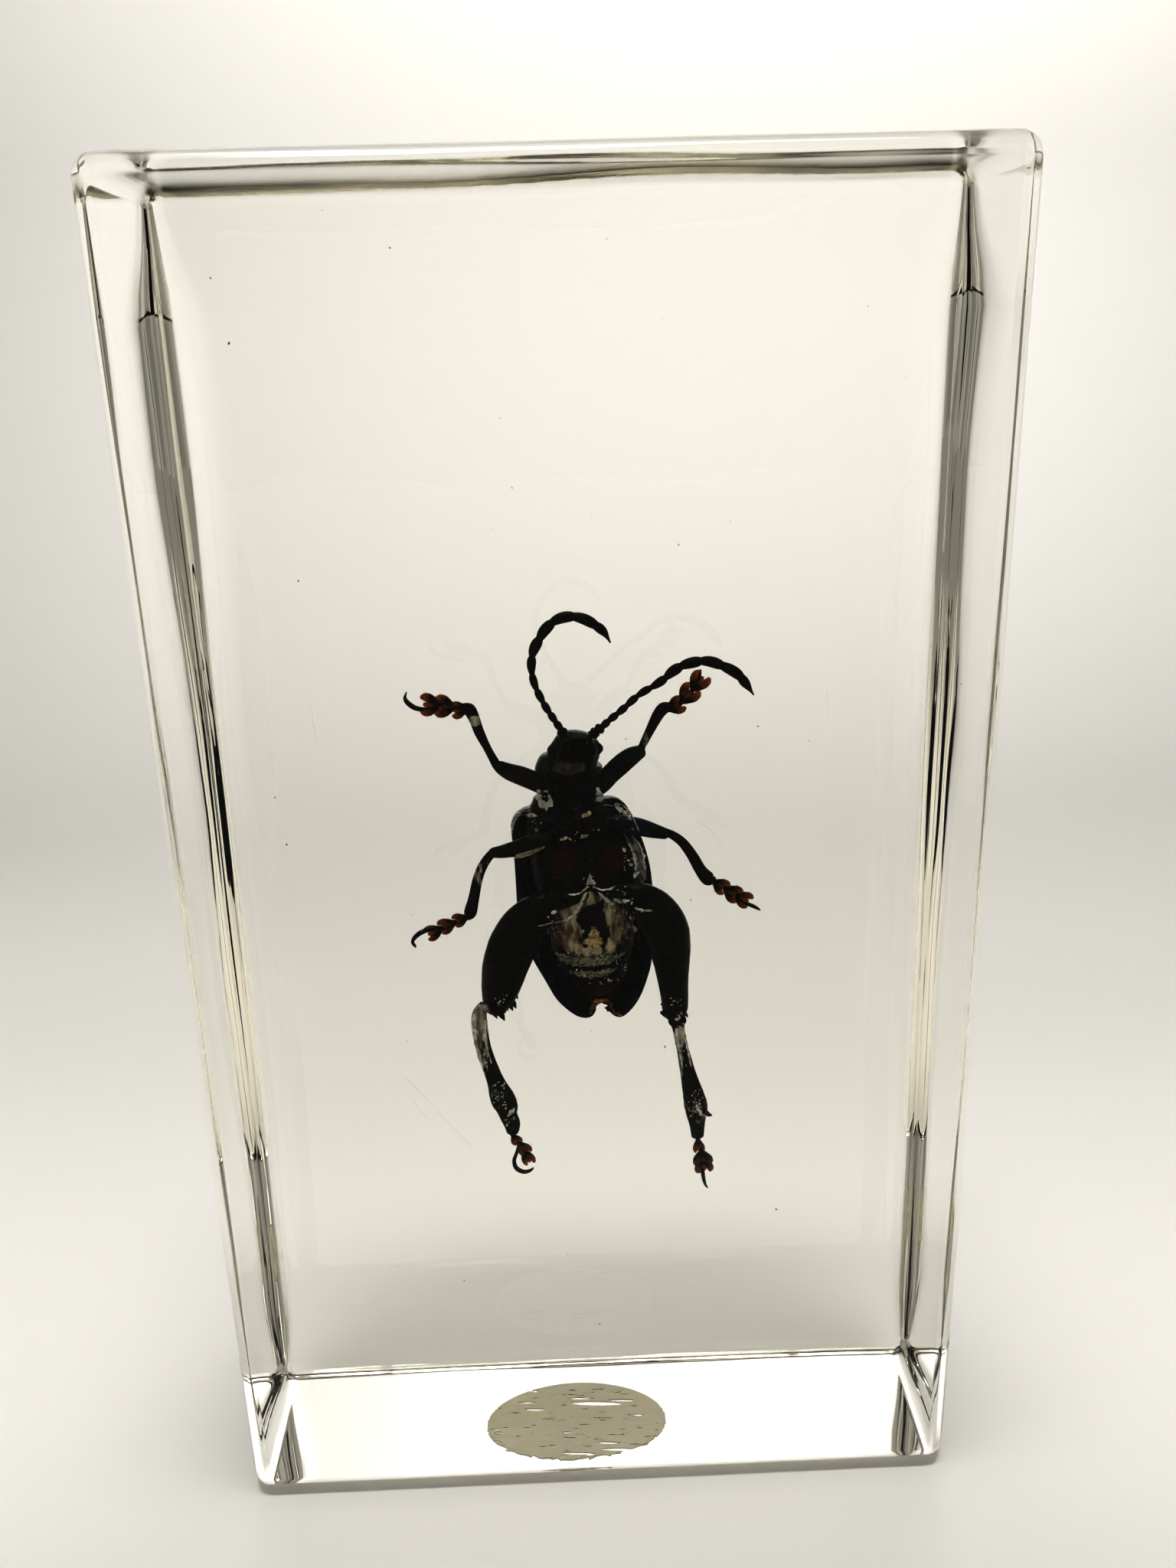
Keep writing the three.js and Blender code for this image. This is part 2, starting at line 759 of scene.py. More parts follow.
@dataclass(frozen=True)
class TarsalPad:
    """Dried foot pad: a thin horny cushion under dense short hair, red brown, light shows through. Each lobe
    is painted dark at its thick root as shade and orange at its thin tip as backlight glow.
    """

    # deep is painted shade in the thick root, edge a painted glow of backlight through the thin tip
    deep: str = "0e0402"
    edge: str = "b0622a"
    hair_mm: float = 0.12
    hair_depth_mm: float = 0.03
    roughness: float = 0.5
    clearness: float = 0.45
    index: float = 1.1

    def material(self) -> Material:
        """Returns the pad finish, blotched at the spacing of its hair and painted from shade at each lobe's
        root to backlight at its tip.
        """
        material, tree = new_material("tarsal_pad_horn")
        here = add_node(tree, "ShaderNodeTexCoord").outputs["Object"]
        grain = add_node(tree, "ShaderNodeTexNoise", Vector=here, Detail=3.0,
                         Scale=1 / (4 * self.hair_mm * MM))
        along = add_node(tree, "ShaderNodeAttribute", {"attribute_name": "along"})
        both = add_node(tree, "ShaderNodeMath", {"operation": "MULTIPLY_ADD"}, in_0=along.outputs["Fac"],
                        in_1=0.8, in_2=grain)
        fuzz = add_node(tree, "ShaderNodeTexNoise", Vector=here, Detail=2.0,
                        Scale=1 / (0.5 * self.hair_mm * MM))
        bump = add_node(tree, "ShaderNodeBump", Strength=0.5, Distance=self.hair_depth_mm * MM, Height=fuzz)
        close_material(tree, Base_Color=blend(tree, both, 0.72, 1.35, self.deep, self.edge), Normal=bump,
                       Roughness=self.roughness, Transmission_Weight=self.clearness, IOR=self.index)
        return material


@dataclass(frozen=True)
class AirFilm:
    """Air trapped between resin and beetle: a thin film that throws light back like old foil, its reflection
    painted as pale colour.
    """

    name: str = "air_film_silver"
    # bright and dull are the painted reflection, brighter and dimmer by a noise
    bright: str = "fffcf2"
    dull: str = "8f8a78"
    grain_mm: float = 0.35
    roughness: float = 0.28
    metal: float = 0.3
    crease_mm: float = 0.02

    def material(self) -> Material:
        """Returns the film finish, a painted reflection, unevenly bright."""
        material, tree = new_material(self.name)
        grain = add_node(tree, "ShaderNodeTexNoise", Scale=1 / (self.grain_mm * MM), Detail=4.0,
                         Vector=add_node(tree, "ShaderNodeTexCoord").outputs["Object"])
        bump = add_node(tree, "ShaderNodeBump", Strength=0.5, Distance=self.crease_mm * MM, Height=grain)
        close_material(tree, Base_Color=blend(tree, grain, 0.35, 0.6, self.dull, self.bright), Normal=bump,
                       Metallic=self.metal, Roughness=self.roughness)
        return material


# ---------------------------------------------------------------- trees that grow repeated detail


def new_tree(name: str, inputs: dict[str, str]) -> tuple[NodeTree, Node]:
    """Starts a geometry tree with named inputs.

    Args:
        name: the tree's name.
        inputs: socket type by input name.

    Returns:
        The tree and its group input node.
    """
    tree = bpy.data.node_groups.new(name, "GeometryNodeTree")
    tree.interface.new_socket("Geometry", in_out="INPUT", socket_type="NodeSocketGeometry")
    for title, kind in inputs.items():
        tree.interface.new_socket(title, in_out="INPUT", socket_type=kind)
    tree.interface.new_socket("Geometry", in_out="OUTPUT", socket_type="NodeSocketGeometry")
    return tree, tree.nodes.new("NodeGroupInput")


def close_tree(tree: NodeTree, geometry: Node, material: NodeSocket) -> None:
    """Ends a geometry tree with real geometry, smooth shading and its finish.

    Args:
        tree: the tree.
        geometry: the node that made its geometry.
        material: the input that holds the finish.
    """
    real = add_node(tree, "GeometryNodeRealizeInstances", Geometry=geometry)
    smooth = add_node(tree, "GeometryNodeSetShadeSmooth", Geometry=real)
    dressed = add_node(tree, "GeometryNodeSetMaterial", Geometry=smooth, Material=material)
    output = tree.nodes.new("NodeGroupOutput")
    tree.links.new(dressed.outputs["Geometry"], output.inputs["Geometry"])


def grow(name: str, source: Object, tree: NodeTree, keep_source: bool, values: dict[str, object]) -> Object:
    """Runs a geometry tree on an object and keeps the result as a plain mesh.

    Args:
        name: the new piece's name.
        source: the object that the tree starts from.
        tree: the tree.
        keep_source: False when the source was only a guide.
        values: input values by name.

    Returns:
        The new object.
    """
    modifier = source.modifiers.new("grow", "NODES")
    modifier.node_group = tree
    for item in tree.interface.items_tree:
        if item.item_type == "SOCKET" and item.in_out == "INPUT" and item.name in values:
            modifier[item.identifier] = values[item.name]
    graph = bpy.context.evaluated_depsgraph_get()
    mesh = bpy.data.meshes.new_from_object(source.evaluated_get(graph))
    mesh.name = name
    source.modifiers.remove(modifier)
    if not keep_source:
        bpy.data.objects.remove(source)
    return link(name, mesh)


def bristle_tree() -> NodeTree:
    """Builds the tree that stands short tapered hairs on the end of a limb or all over a pad.

    Returns:
        The tree.
    """
    tree, given = new_tree("bristles", {
        "Per Square Metre": "NodeSocketFloat", "Length": "NodeSocketFloat", "Thickness": "NodeSocketFloat",
        "From Along": "NodeSocketFloat", "Seed": "NodeSocketInt", "Material": "NodeSocketMaterial",
    })
    along = add_node(tree, "GeometryNodeInputNamedAttribute", {"data_type": "FLOAT"}, Name="along")
    chosen = add_node(tree, "FunctionNodeCompare", {"data_type": "FLOAT", "operation": "GREATER_EQUAL"},
                      in_0=along, in_1=given.outputs["From Along"])
    spread = add_node(tree, "GeometryNodeDistributePointsOnFaces", Mesh=given.outputs["Geometry"],
                      Selection=chosen, Density=given.outputs["Per Square Metre"],
                      Seed=given.outputs["Seed"])
    hair = add_node(tree, "GeometryNodeMeshCone", Vertices=3, Radius_Top=0.0, Radius_Bottom=1.0, Depth=1.0)
    tilt = add_node(tree, "FunctionNodeRandomValue", {"data_type": "FLOAT_VECTOR"},
                    in_0=(-0.45, -0.45, 0.0), in_1=(0.45, 0.45, 0.0), Seed=given.outputs["Seed"])
    turned = add_node(tree, "FunctionNodeRotateRotation", {"rotation_space": "LOCAL"},
                      in_0=spread.outputs["Rotation"], in_1=tilt)
    stretch = add_node(tree, "FunctionNodeRandomValue", {"data_type": "FLOAT"}, in_2=0.55, in_3=1.2,
                       Seed=given.outputs["Seed"])
    reach = add_node(tree, "ShaderNodeMath", {"operation": "MULTIPLY"}, in_0=given.outputs["Length"],
                     in_1=stretch.outputs[1])
    size = add_node(tree, "ShaderNodeCombineXYZ", X=given.outputs["Thickness"],
                    Y=given.outputs["Thickness"], Z=reach)
    placed = add_node(tree, "GeometryNodeInstanceOnPoints", Points=spread,
                      Instance=hair, Rotation=turned, Scale=size)
    close_tree(tree, placed, given.outputs["Material"])
    return tree


def antenna_tree() -> NodeTree:
    """Builds the tree that runs a row of waisted joints along a curve, thicker in its outer half.

    Returns:
        The tree.
    """
    tree, given = new_tree("antenna", {
        "Joints": "NodeSocketFloat", "Rings": "NodeSocketInt", "Inner Radius": "NodeSocketFloat",
        "Outer Radius": "NodeSocketFloat", "Waist": "NodeSocketFloat",
        "Outer Waist": "NodeSocketFloat", "Material": "NodeSocketMaterial",
    })
    curve = add_node(tree, "GeometryNodeMeshToCurve", Mesh=given.outputs["Geometry"])
    even = add_node(tree, "GeometryNodeResampleCurve", Curve=curve, Count=given.outputs["Rings"])
    place = add_node(tree, "GeometryNodeSplineParameter")
    # Each joint swells from its waist and back: its share of the length runs through a late half turn.
    swell = place
    for operation, second in (("POWER", 0.58), ("MULTIPLY", given.outputs["Joints"]), ("FRACT", 0.5),
                              ("POWER", 1.35), ("MULTIPLY", math.pi), ("SINE", 0.5), ("MAXIMUM", 0.0),
                              ("POWER", 0.45)):
        swell = add_node(tree, "ShaderNodeMath", {"operation": operation}, in_0=swell, in_1=second)
    waist = add_node(tree, "ShaderNodeMapRange", Value=place, in_1=0.4, in_2=0.8,
                     in_3=given.outputs["Waist"], in_4=given.outputs["Outer Waist"])
    radius = add_node(tree, "ShaderNodeMapRange", Value=swell, in_3=waist, in_4=1.0)
    # The girth grows outwards, the tip is drawn in and the first joint is stouter.
    thin, thick = given.outputs["Inner Radius"], given.outputs["Outer Radius"]
    for low, high, before, after in ((0.34, 0.56, thin, thick), (0.9, 1.0, 1.0, 0.18),
                                     (0.05, 0.09, 1.45, 1.0)):
        share = add_node(tree, "ShaderNodeMapRange", SMOOTH, Value=place, in_1=low, in_2=high,
                         in_3=before, in_4=after)
        radius = add_node(tree, "ShaderNodeMath", {"operation": "MULTIPLY"}, in_0=radius, in_1=share)
    ring = add_node(tree, "GeometryNodeCurvePrimitiveCircle", Resolution=14, Radius=1.0)
    tube = add_node(tree, "GeometryNodeCurveToMesh", Curve=even, Scale=radius,
                    Profile_Curve=ring, Fill_Caps=True)
    close_tree(tree, tube, given.outputs["Material"])
    return tree


def speck_tree() -> NodeTree:
    """Builds the tree that scatters dust and pinhole bubbles through a box of resin.

    Returns:
        The tree.
    """
    tree, given = new_tree("specks", {
        "Count": "NodeSocketInt", "Low": "NodeSocketVector", "High": "NodeSocketVector",
        "Least": "NodeSocketFloat", "Most": "NodeSocketFloat", "Seed": "NodeSocketInt",
        "Material": "NodeSocketMaterial",
    })
    line = add_node(tree, "GeometryNodeMeshLine", Count=given.outputs["Count"])
    where = add_node(tree, "FunctionNodeRandomValue", {"data_type": "FLOAT_VECTOR"},
                     in_0=given.outputs["Low"], in_1=given.outputs["High"], Seed=given.outputs["Seed"])
    moved = add_node(tree, "GeometryNodeSetPosition", Geometry=line, Position=where)
    grain = add_node(tree, "GeometryNodeMeshIcoSphere", Radius=1.0, Subdivisions=1)
    dice = add_node(tree, "FunctionNodeRandomValue", {"data_type": "FLOAT"}, in_2=0.0, in_3=1.0,
                    Seed=given.outputs["Seed"])
    rare = add_node(tree, "ShaderNodeMath", {"operation": "POWER"}, in_0=dice.outputs[1], in_1=3.0)
    size = add_node(tree, "ShaderNodeMapRange", Value=rare, in_3=given.outputs["Least"],
                    in_4=given.outputs["Most"])
    turn = add_node(tree, "FunctionNodeRandomValue", {"data_type": "FLOAT_VECTOR"},
                    in_0=(0.0, 0.0, 0.0), in_1=(6.0, 6.0, 6.0), Seed=given.outputs["Seed"])
    squeeze = add_node(tree, "ShaderNodeCombineXYZ", X=1.0, Y=0.6, Z=1.4)
    scale = add_node(tree, "ShaderNodeVectorMath", {"operation": "SCALE"}, in_0=squeeze,
                     Scale=size)
    placed = add_node(tree, "GeometryNodeInstanceOnPoints", Points=moved,
                      Instance=grain, Rotation=turn, Scale=scale)
    close_tree(tree, placed, given.outputs["Material"])
    return tree


# ---------------------------------------------------------------- the beetle


def limb(rows: Sequence[tuple[float, float, float]], depths: tuple[float, float],
         flat: float = 1.0) -> list[tuple[float, ...]]:
    """Turns landmark rows into loft stations that run from one depth to another.

    Args:
        rows: landmark X, height and half width at each station, in millimetres.
        depths: row Y of the first and of the last station.
        flat: half depth as a share of half width.

    Returns:
        Loft stations.
    """
    made = []
    for i, (x, z, half) in enumerate(rows):
        share = i / (len(rows) - 1)
        point = SIGHT.place(x, z, depths[0] + (depths[1] - depths[0]) * share)
        made.append((*point, half, half * flat))
    return made


def spots(*rows: tuple[float, float, float, float, float]) -> list[tuple[float, ...]]:
    """Turns rows of landmark X, height, row Y, half width and half depth into loft stations."""
    return [(*SIGHT.place(x, z, y), wide, deep) for x, z, y, wide, deep in rows]


@dataclass
class Elytra:
    """The two hard wing cases, seen here from below as the rim round the body."""

    rim_y: float = 0.2
    thickness: float = 0.22
    rim_fold: float = 0.42
    lip: Rows = ((1.0, 0.05), (0.55, -0.12), (0.16, -0.1))  # share of the fold inwards, and Y from the rim
    seam_steps: int = 30
    left_rim: Rows = (
        (-1.27, 41.2), (-2.0, 41.42), (-2.62, 41.42), (-3.3, 41.2), (-3.68, 40.72), (-3.72, 40.02),
        (-3.64, 38.75), (-3.61, 37.16), (-3.58, 35.54), (-3.36, 34.0), (-2.96, 32.72), (-2.23, 31.21),
        (-1.55, 29.91), (-0.63, 29.0), (0.0, 28.77), (0.42, 28.95), (0.5, 29.48), (0.84, 29.66),
    )
    right_rim: Rows = (
        (0.3, 41.4), (1.25, 41.78), (1.99, 41.8), (2.57, 41.3), (2.95, 40.4), (3.36, 39.44),
        (3.71, 38.16), (3.88, 36.87), (3.95, 35.24), (3.9, 33.6), (3.79, 32.27), (3.62, 31.43),
        (3.19, 30.18), (2.65, 29.27), (2.0, 28.74), (1.48, 29.0), (1.36, 29.48), (0.98, 29.66),
    )
    suture_top: tuple[float, float] = (-0.5, 41.1)
    suture_end: tuple[float, float] = (0.91, 29.7)
    suture_share: tuple[float, ...] = (
        0, 0, 0, 0, 0.03, 0.09, 0.2, 0.33, 0.47, 0.61, 0.72, 0.83, 0.92, 0.975, 0.99, 1, 1, 1,
    )
    crown: tuple[float, ...] = (
        0.9, 1.5, 2.1, 2.7, 3.2, 3.6, 4.0, 4.25, 4.3, 4.25, 4.0, 3.5, 2.7, 1.7, 1.1, 0.75, 0.5, 0.3,
    )
    scutellum: Rows = (
        (-0.62, 2.6, 41.9, 0.12, 0.1), (-0.6, 3.05, 41.5, 0.5, 0.14), (-0.55, 3.45, 41.0, 0.34, 0.12),
        (-0.5, 3.75, 40.5, 0.06, 0.06),
    )  # loft stations of the small plate between the bases, on the back

    def _ribs(self, rim: Rows) -> list[list[Vector]]:
        """Lays ribs from the rim over the back to the suture.

        Args:
            rim: the outline of one wing case, from its base round to its tip.

        Returns:
            Rows of points, each from the inside of the rim to the suture.
        """
        controls = [(*edge, share, top) for edge, share, top in zip(rim, self.suture_share, self.crown)]
        rows = []
        for x, z, share, top in smooth_path(controls, 72):
            edge = SIGHT.place(x, z, self.rim_y)
            share = min(max(share, 0.0), 1.0)
            seam = SIGHT.place(*(a + (b - a) * share for a, b in zip(self.suture_top, self.suture_end)),
                               self.rim_y)
            inward = seam - edge
            fold = min(self.rim_fold, inward.length * 0.3)
            way = inward.normalized()
            row = [edge + way * fold * reach + Vector((0, back, 0)) for reach, back in self.lip]
            for i in range(self.seam_steps):
                turn = math.pi / 2 * i / (self.seam_steps - 1)
                point = seam + (edge - seam) * math.cos(turn) ** 0.82
                point.y = self.rim_y + top * math.sin(turn) ** 0.86
                row.append(point)
            rows.append(row)
        return rows

    def build(self) -> list[Object]:
        """Builds both wing cases and the small plate between their bases.

        Returns:
            The three pieces.
        """
        finish = BeetleCuticle(Sheen.BLUE, mottle_mm=2.2).material()
        core = SIGHT.place(0.2, 35.0, self.rim_y)
        made = []
        for name, rim in (("wing_case_left", self.left_rim), ("wing_case_right", self.right_rim)):
            skin = Skin().shell(self._ribs(rim), self.thickness, core)
            made.append(skin.make(name, finish, {"rust": [Blotch(0.9, 29.6, 0.55, 0.5, 0.9)]}))
        made.append(Skin().loft(self.scutellum, sides=16).make("scutellum", finish))
        return made


@dataclass
class Thorax:
    """The neck shield, the breast plates under the wings, and the sockets of the six legs."""

    neck: Rows = (
        (-0.78, 40.9, 1.4), (-0.74, 41.5, 1.56), (-0.68, 42.2, 1.64), (-0.58, 42.9, 1.78),
        (-0.5, 43.5, 1.86), (-0.46, 43.95, 1.72), (-0.42, 44.15, 1.35),
    )
    core: Rows = (
        (-0.72, 41.9, 0.4, 1.9, 1.5), (-0.6, 40.9, 0.4, 2.5, 1.8), (-0.25, 39.0, 0.45, 2.75, 2.05),
        (0.15, 37.0, 0.5, 2.8, 1.95), (0.3, 36.0, 0.6, 2.6, 1.6),
    )
    bridge: Rows = (
        (-0.25, 41.15, -1.15, 0.42, 0.3), (-0.2, 40.4, -1.45, 0.5, 0.35), (-0.1, 39.7, -1.6, 0.36, 0.3),
    )
    front_sockets: Rows = (
        (-1.15, 42.25, -0.75, 0.52), (0.45, 42.25, -0.75, 0.5),
        (-1.45, 39.75, -1.75, 0.55), (1.0, 40.35, -1.75, 0.55),
    )  # landmark X, height, row Y and size, for the front and middle legs
    hind_sockets: tuple[tuple[tuple[float, float], tuple[float, float]], ...] = (
        ((0.1, 36.25), (-2.35, 35.75)), ((0.95, 36.45), (3.1, 36.25)),
    )  # the inner and the outer end of each

    def build(self) -> list[Object]:
        """Builds the plates and sockets.

        Returns:
            The pieces.
        """
        green = BeetleCuticle(Sheen.GREEN).material()
        black = BeetleCuticle(Sheen.BLACK).material()
        rust = {"rust": [Blotch(-1.06, 38.28, 0.75, 0.9, 0.75), Blotch(1.74, 38.3, 0.8, 0.9, 0.75),
                         Blotch(-0.09, 40.9, 0.3, 0.25, 0.9)]}
        made = []
        shield = Skin().loft(limb(self.neck, (0.9, 0.9), 0.84), sides=40, samples=30, rounding=2.5,
                             blunt=(0.3, 0.35))
        made.append(shield.make("prothorax", green))
        core = Skin().loft(spots(*self.core), sides=36, rounding=2.4, blunt=(0.5, 0.4))
        made.append(core.make("thorax_core", black))
        for name, x, lean in (("metasternum_left", -1.2, -0.1), ("metasternum_right", 1.5, 0.2)):
            rows = spots((x - 0.3 + lean, 40.0, -1.1, 0.95, 0.5), (x - 0.1, 39.2, -1.25, 1.3, 0.75),
                         (x + 0.1, 38.0, -1.25, 1.42, 0.82), (x + 0.25, 36.9, -1.15, 1.3, 0.6))
            plate = Skin().loft(rows, sides=28, rounding=2.6, blunt=(0.5, 0.4))
            made.append(plate.make(name, black, rust))
        for name, x, z in (("mesosternum_left", -1.75, 40.45), ("mesosternum_right", 1.45, 40.85)):
            plate = Skin().loft(spots((x - 0.55, z - 0.15, -0.9, 0.4, 0.3), (x, z, -1.05, 0.62, 0.45),
                                      (x + 0.6, z + 0.1, -0.95, 0.4, 0.3)), sides=20, rounding=2.3)
            made.append(plate.make(name, green))
        bridge = Skin().loft(spots(*self.bridge), sides=20, rounding=2.4)
        made.append(bridge.make("mesosternal_bridge", black, rust))
        sockets = Skin()
        for x, z, y, size in self.front_sockets:
            end = (size * 0.7, size * 0.6)
            sockets.loft(spots((x - size * 0.5, z, y, *end), (x, z, y - 0.08, size, size * 0.8),
                               (x + size * 0.5, z, y, *end)), sides=20, samples=12)
        for inner, outer in self.hind_sockets:
            middle = ((inner[0] + outer[0]) / 2, (inner[1] + outer[1]) / 2)
            rows = spots((*inner, -1.75, 0.28, 0.3), (*middle, -1.7, 0.5, 0.42),
                         (*outer, -1.35, 0.42, 0.4))
            sockets.loft(rows, sides=20, samples=14)
        made.append(sockets.make("leg_sockets", black))
        return made


@dataclass
class Abdomen:
    """Five overlapping belly plates, the first of them wide and mottled with painted reflection where air
    lies under it.
    """

    spine: Rows = (
        (0.4, 36.9), (0.42, 35.6), (0.46, 34.2), (0.52, 33.0), (0.6, 32.2), (0.7, 31.5), (0.8, 30.7),
        (0.88, 29.95),
    )
    half_widths: tuple[float, ...] = (2.0, 2.5, 2.5, 2.36, 2.15, 1.85, 1.4, 0.75)
    belly_y: tuple[float, ...] = (-1.65, -1.75, -1.7, -1.55, -1.35, -1.1, -0.75, -0.3)
    breaks: tuple[float, ...] = (0.0, 0.47, 0.6, 0.71, 0.83, 1.0)
    step: float = 0.09  # how far each plate stands out over the next
    # where the pale film paints the reflection of trapped air; a negative blotch keeps it off
    silver: tuple[Blotch, ...] = (
        Blotch(0.45, 34.4, 2.5, 2.4, 0.85), Blotch(-0.7, 34.1, 1.2, 1.0, 0.9),
        Blotch(0.6, 36.0, 0.9, 0.6, 0.9), Blotch(1.9, 34.4, 0.8, 1.1, 0.8),
        Blotch(0.45, 34.85, 0.75, 0.8, -1.3), Blotch(1.05, 34.0, 0.4, 1.0, -1.0),
        Blotch(0.1, 33.6, 0.3, 0.6, -0.7), Blotch(1.0, 35.6, 0.35, 0.35, -0.6),
    )
    rust: tuple[Blotch, ...] = (Blotch(-1.0, 33.8, 0.8, 0.7, 0.8), Blotch(0.9, 30.6, 0.9, 0.5, 0.6))

    def _station(self, share: float, swell: float) -> tuple[float, ...]:
        """Finds the body's section at a share of its length.

        Args:
            share: 0 at the front and 1 at the tip.
            swell: how far the section stands out, in millimetres.

        Returns:
            One loft station.
        """
        rows = [(*place, wide, y) for place, wide, y in zip(self.spine, self.half_widths, self.belly_y)]
        x, z, wide, front = smooth_path(rows, 201)[round(share * 200)]
        deep = max(wide * 0.62, 0.4)
        point = SIGHT.place(x, z, front)
        return (point.x, front + deep, point.z, wide + swell, deep + swell)

    def build(self) -> list[Object]:
        """Builds the plates from the breast to the tip.

        Returns:
            One piece for each plate.
        """
        black = BeetleCuticle(Sheen.BLACK).material()
        # the first plate's pale mottle is painted reflection of trapped air
        mottled = BeetleCuticle(Sheen.BLACK, film="d6c8a8", film_shade="604e3c", rust="42130b",
                                film_grain_mm=0.22, film_stretch=3.0).material()
        mottled.name = "belly_plate_mottled"
        marks = {"silver": self.silver, "rust": self.rust}
        made = []
        for i, (front, back) in enumerate(zip(self.breaks, self.breaks[1:])):
            rows = [self._station(front + (back - front) * k / 6, self.step * (k / 6) ** 2) for k in range(7)]
            plate = Skin().loft(rows, sides=56, samples=26 if i == 0 else 12, rounding=2.2,
                                blunt=(0.12, 0.1 if i < 4 else 0.7), uneven=0.012)
            finish = mottled if i == 0 else black
            made.append(plate.make(f"belly_plate_{i + 1}", finish, marks))
        return made


@dataclass
class Head:
    """The head with its eyes, jaws and feelers."""

    skull: Rows = (
        (-0.48, 43.1, 1.1), (-0.38, 43.6, 1.36), (-0.22, 44.15, 1.32), (-0.1, 44.6, 1.34), (0.03, 45.0, 1.24),
        (0.1, 45.25, 1.08), (0.13, 45.38, 0.85),
    )
    skull_y: float = 0.45
    upper_lip: Rows = ((0.05, 44.85, 0.42), (0.08, 45.1, 0.46), (0.1, 45.28, 0.3))
    lower_lip: Rows = ((-0.3, 43.95, 0.3), (-0.22, 44.25, 0.4), (-0.12, 44.5, 0.22))
    left_feeler: Rows = (
        (-0.6, 45.1), (-0.66, 45.27), (-0.85, 45.72), (-1.09, 46.1), (-1.3, 46.45), (-1.5, 46.78),
        (-1.74, 47.23), (-2.01, 47.83), (-2.18, 48.34), (-2.27, 48.93), (-2.25, 49.43), (-2.12, 50.0),
        (-1.81, 50.56), (-1.48, 51.05), (-0.9, 51.53), (-0.2, 51.69), (0.5, 51.55), (1.13, 51.18),
        (1.54, 50.81), (1.86, 50.26),
    )
    right_feeler: Rows = (
        (0.8, 45.35), (0.98, 45.54), (1.35, 45.82), (1.72, 46.15), (2.01, 46.37), (2.53, 46.79),
        (3.04, 47.25), (3.54, 47.61), (4.12, 47.92), (4.63, 48.26), (5.13, 48.68), (5.84, 49.02),
        (6.84, 49.14), (7.7, 48.85), (8.42, 48.43), (8.88, 47.91), (9.34, 47.24),
    )

    def _feeler(self, name: str, path: Sequence[tuple[float, float]], tree: NodeTree,
                finish: Material) -> Object:
        """Grows one feeler of eleven joints along its path.

        Args:
            name: the piece's name.
            path: landmarks from the head to the tip.
            tree: the feeler tree.
            finish: its material.

        Returns:
            The feeler.
        """
        count = len(path)
        line = [SIGHT.place(x, z, -0.35 - 0.5 * math.sin(math.pi * i / (count - 1)))
                for i, (x, z) in enumerate(path)]
        return grow(name, guide(name, smooth_path(line, 160)), tree, False, {
            "Joints": 13.98, "Rings": 264, "Inner Radius": 0.215 * MM, "Outer Radius": 0.3 * MM,
            "Waist": 0.5, "Outer Waist": 0.72, "Material": finish,
        })

    def build(self) -> list[Object]:
        """Builds the head and all that it carries.

        Returns:
            The pieces, feelers last.
        """
        black = BeetleCuticle(Sheen.BLACK, pit_mm=0.15).material()
        green = BeetleCuticle(Sheen.GREEN).material()
        brown = BeetleCuticle(Sheen.BLACK, film="6e6154", film_shade="3c3128", film_grain_mm=0.4).material()
        brown.name = "mouth_skin_brown"
        eye_finish = BeetleCuticle(Sheen.VIOLET, pit_mm=0.06, pit_depth_mm=0.012, mottle_mm=0.5).material()
        eye_finish.name = "eye_facets"
        made = []
        skull = Skin().loft(limb(self.skull, (self.skull_y, self.skull_y), 0.86), sides=36, samples=28,
                            rounding=2.3, blunt=(0.4, 0.35))
        made.append(skull.make("head_capsule", green, {"rust": [Blotch(-1.4, 44.75, 0.25, 0.3, 0.9)]}))
        for name, x in (("eye_left", -1.2), ("eye_right", 0.93)):
            side = -1 if x < 0 else 1
            rows = spots((x - 0.02 * side, 44.3, 0.25, 0.2, 0.24), (x + 0.02 * side, 44.6, 0.25, 0.42, 0.5),
                         (x - 0.04 * side, 44.92, 0.25, 0.24, 0.3))
            eye = Skin().loft(rows, sides=24, samples=16)
            made.append(eye.make(name, eye_finish, {"rust": [Blotch(-1.45, 44.75, 0.2, 0.3, 0.8)]}))
        rows = limb(((-0.42, 43.15, 0.75), (-0.42, 43.6, 0.92), (-0.36, 44.0, 0.72)), (-0.65, -0.7), 0.34)
        mouth = Skin().loft(rows, rounding=2.6, blunt=(0.5, 0.5))
        made.append(mouth.make("mentum", brown, {"silver": [Blotch(-0.5, 43.62, 1.1, 0.5, 0.85)]}))
        jaws = Skin()
        for side in (-1, 1):
            jaw = ((side * 0.62, 44.25, 0.26), (side * 0.68, 44.7, 0.28), (side * 0.5, 45.05, 0.2),
                   (side * 0.14 + 0.05, 45.2, 0.08))
            palp = ((-0.15 + side * 0.5, 43.95, 0.1), (-0.1 + side * 0.86, 44.2, 0.12),
                    (side * 0.92, 44.55, 0.13), (side * 0.8, 44.85, 0.09))
            jaws.loft(limb(jaw, (-0.7, -0.95), 0.8), samples=16, sides=14)
            jaws.loft(limb(palp, (-0.95, -1.25), 1.0), samples=16, sides=12)
        jaws.loft(limb(self.upper_lip, (-0.72, -0.55), 0.4), samples=12, sides=18, rounding=2.6)
        jaws.loft(limb(self.lower_lip, (-0.85, -0.9), 0.5), samples=12, sides=18)
        made.append(jaws.make("jaws_and_palps", black))
        tree = antenna_tree()
        made.append(self._feeler("antenna_left", self.left_feeler, tree, black))
        made.append(self._feeler("antenna_right", self.right_feeler, tree, black))
        return made


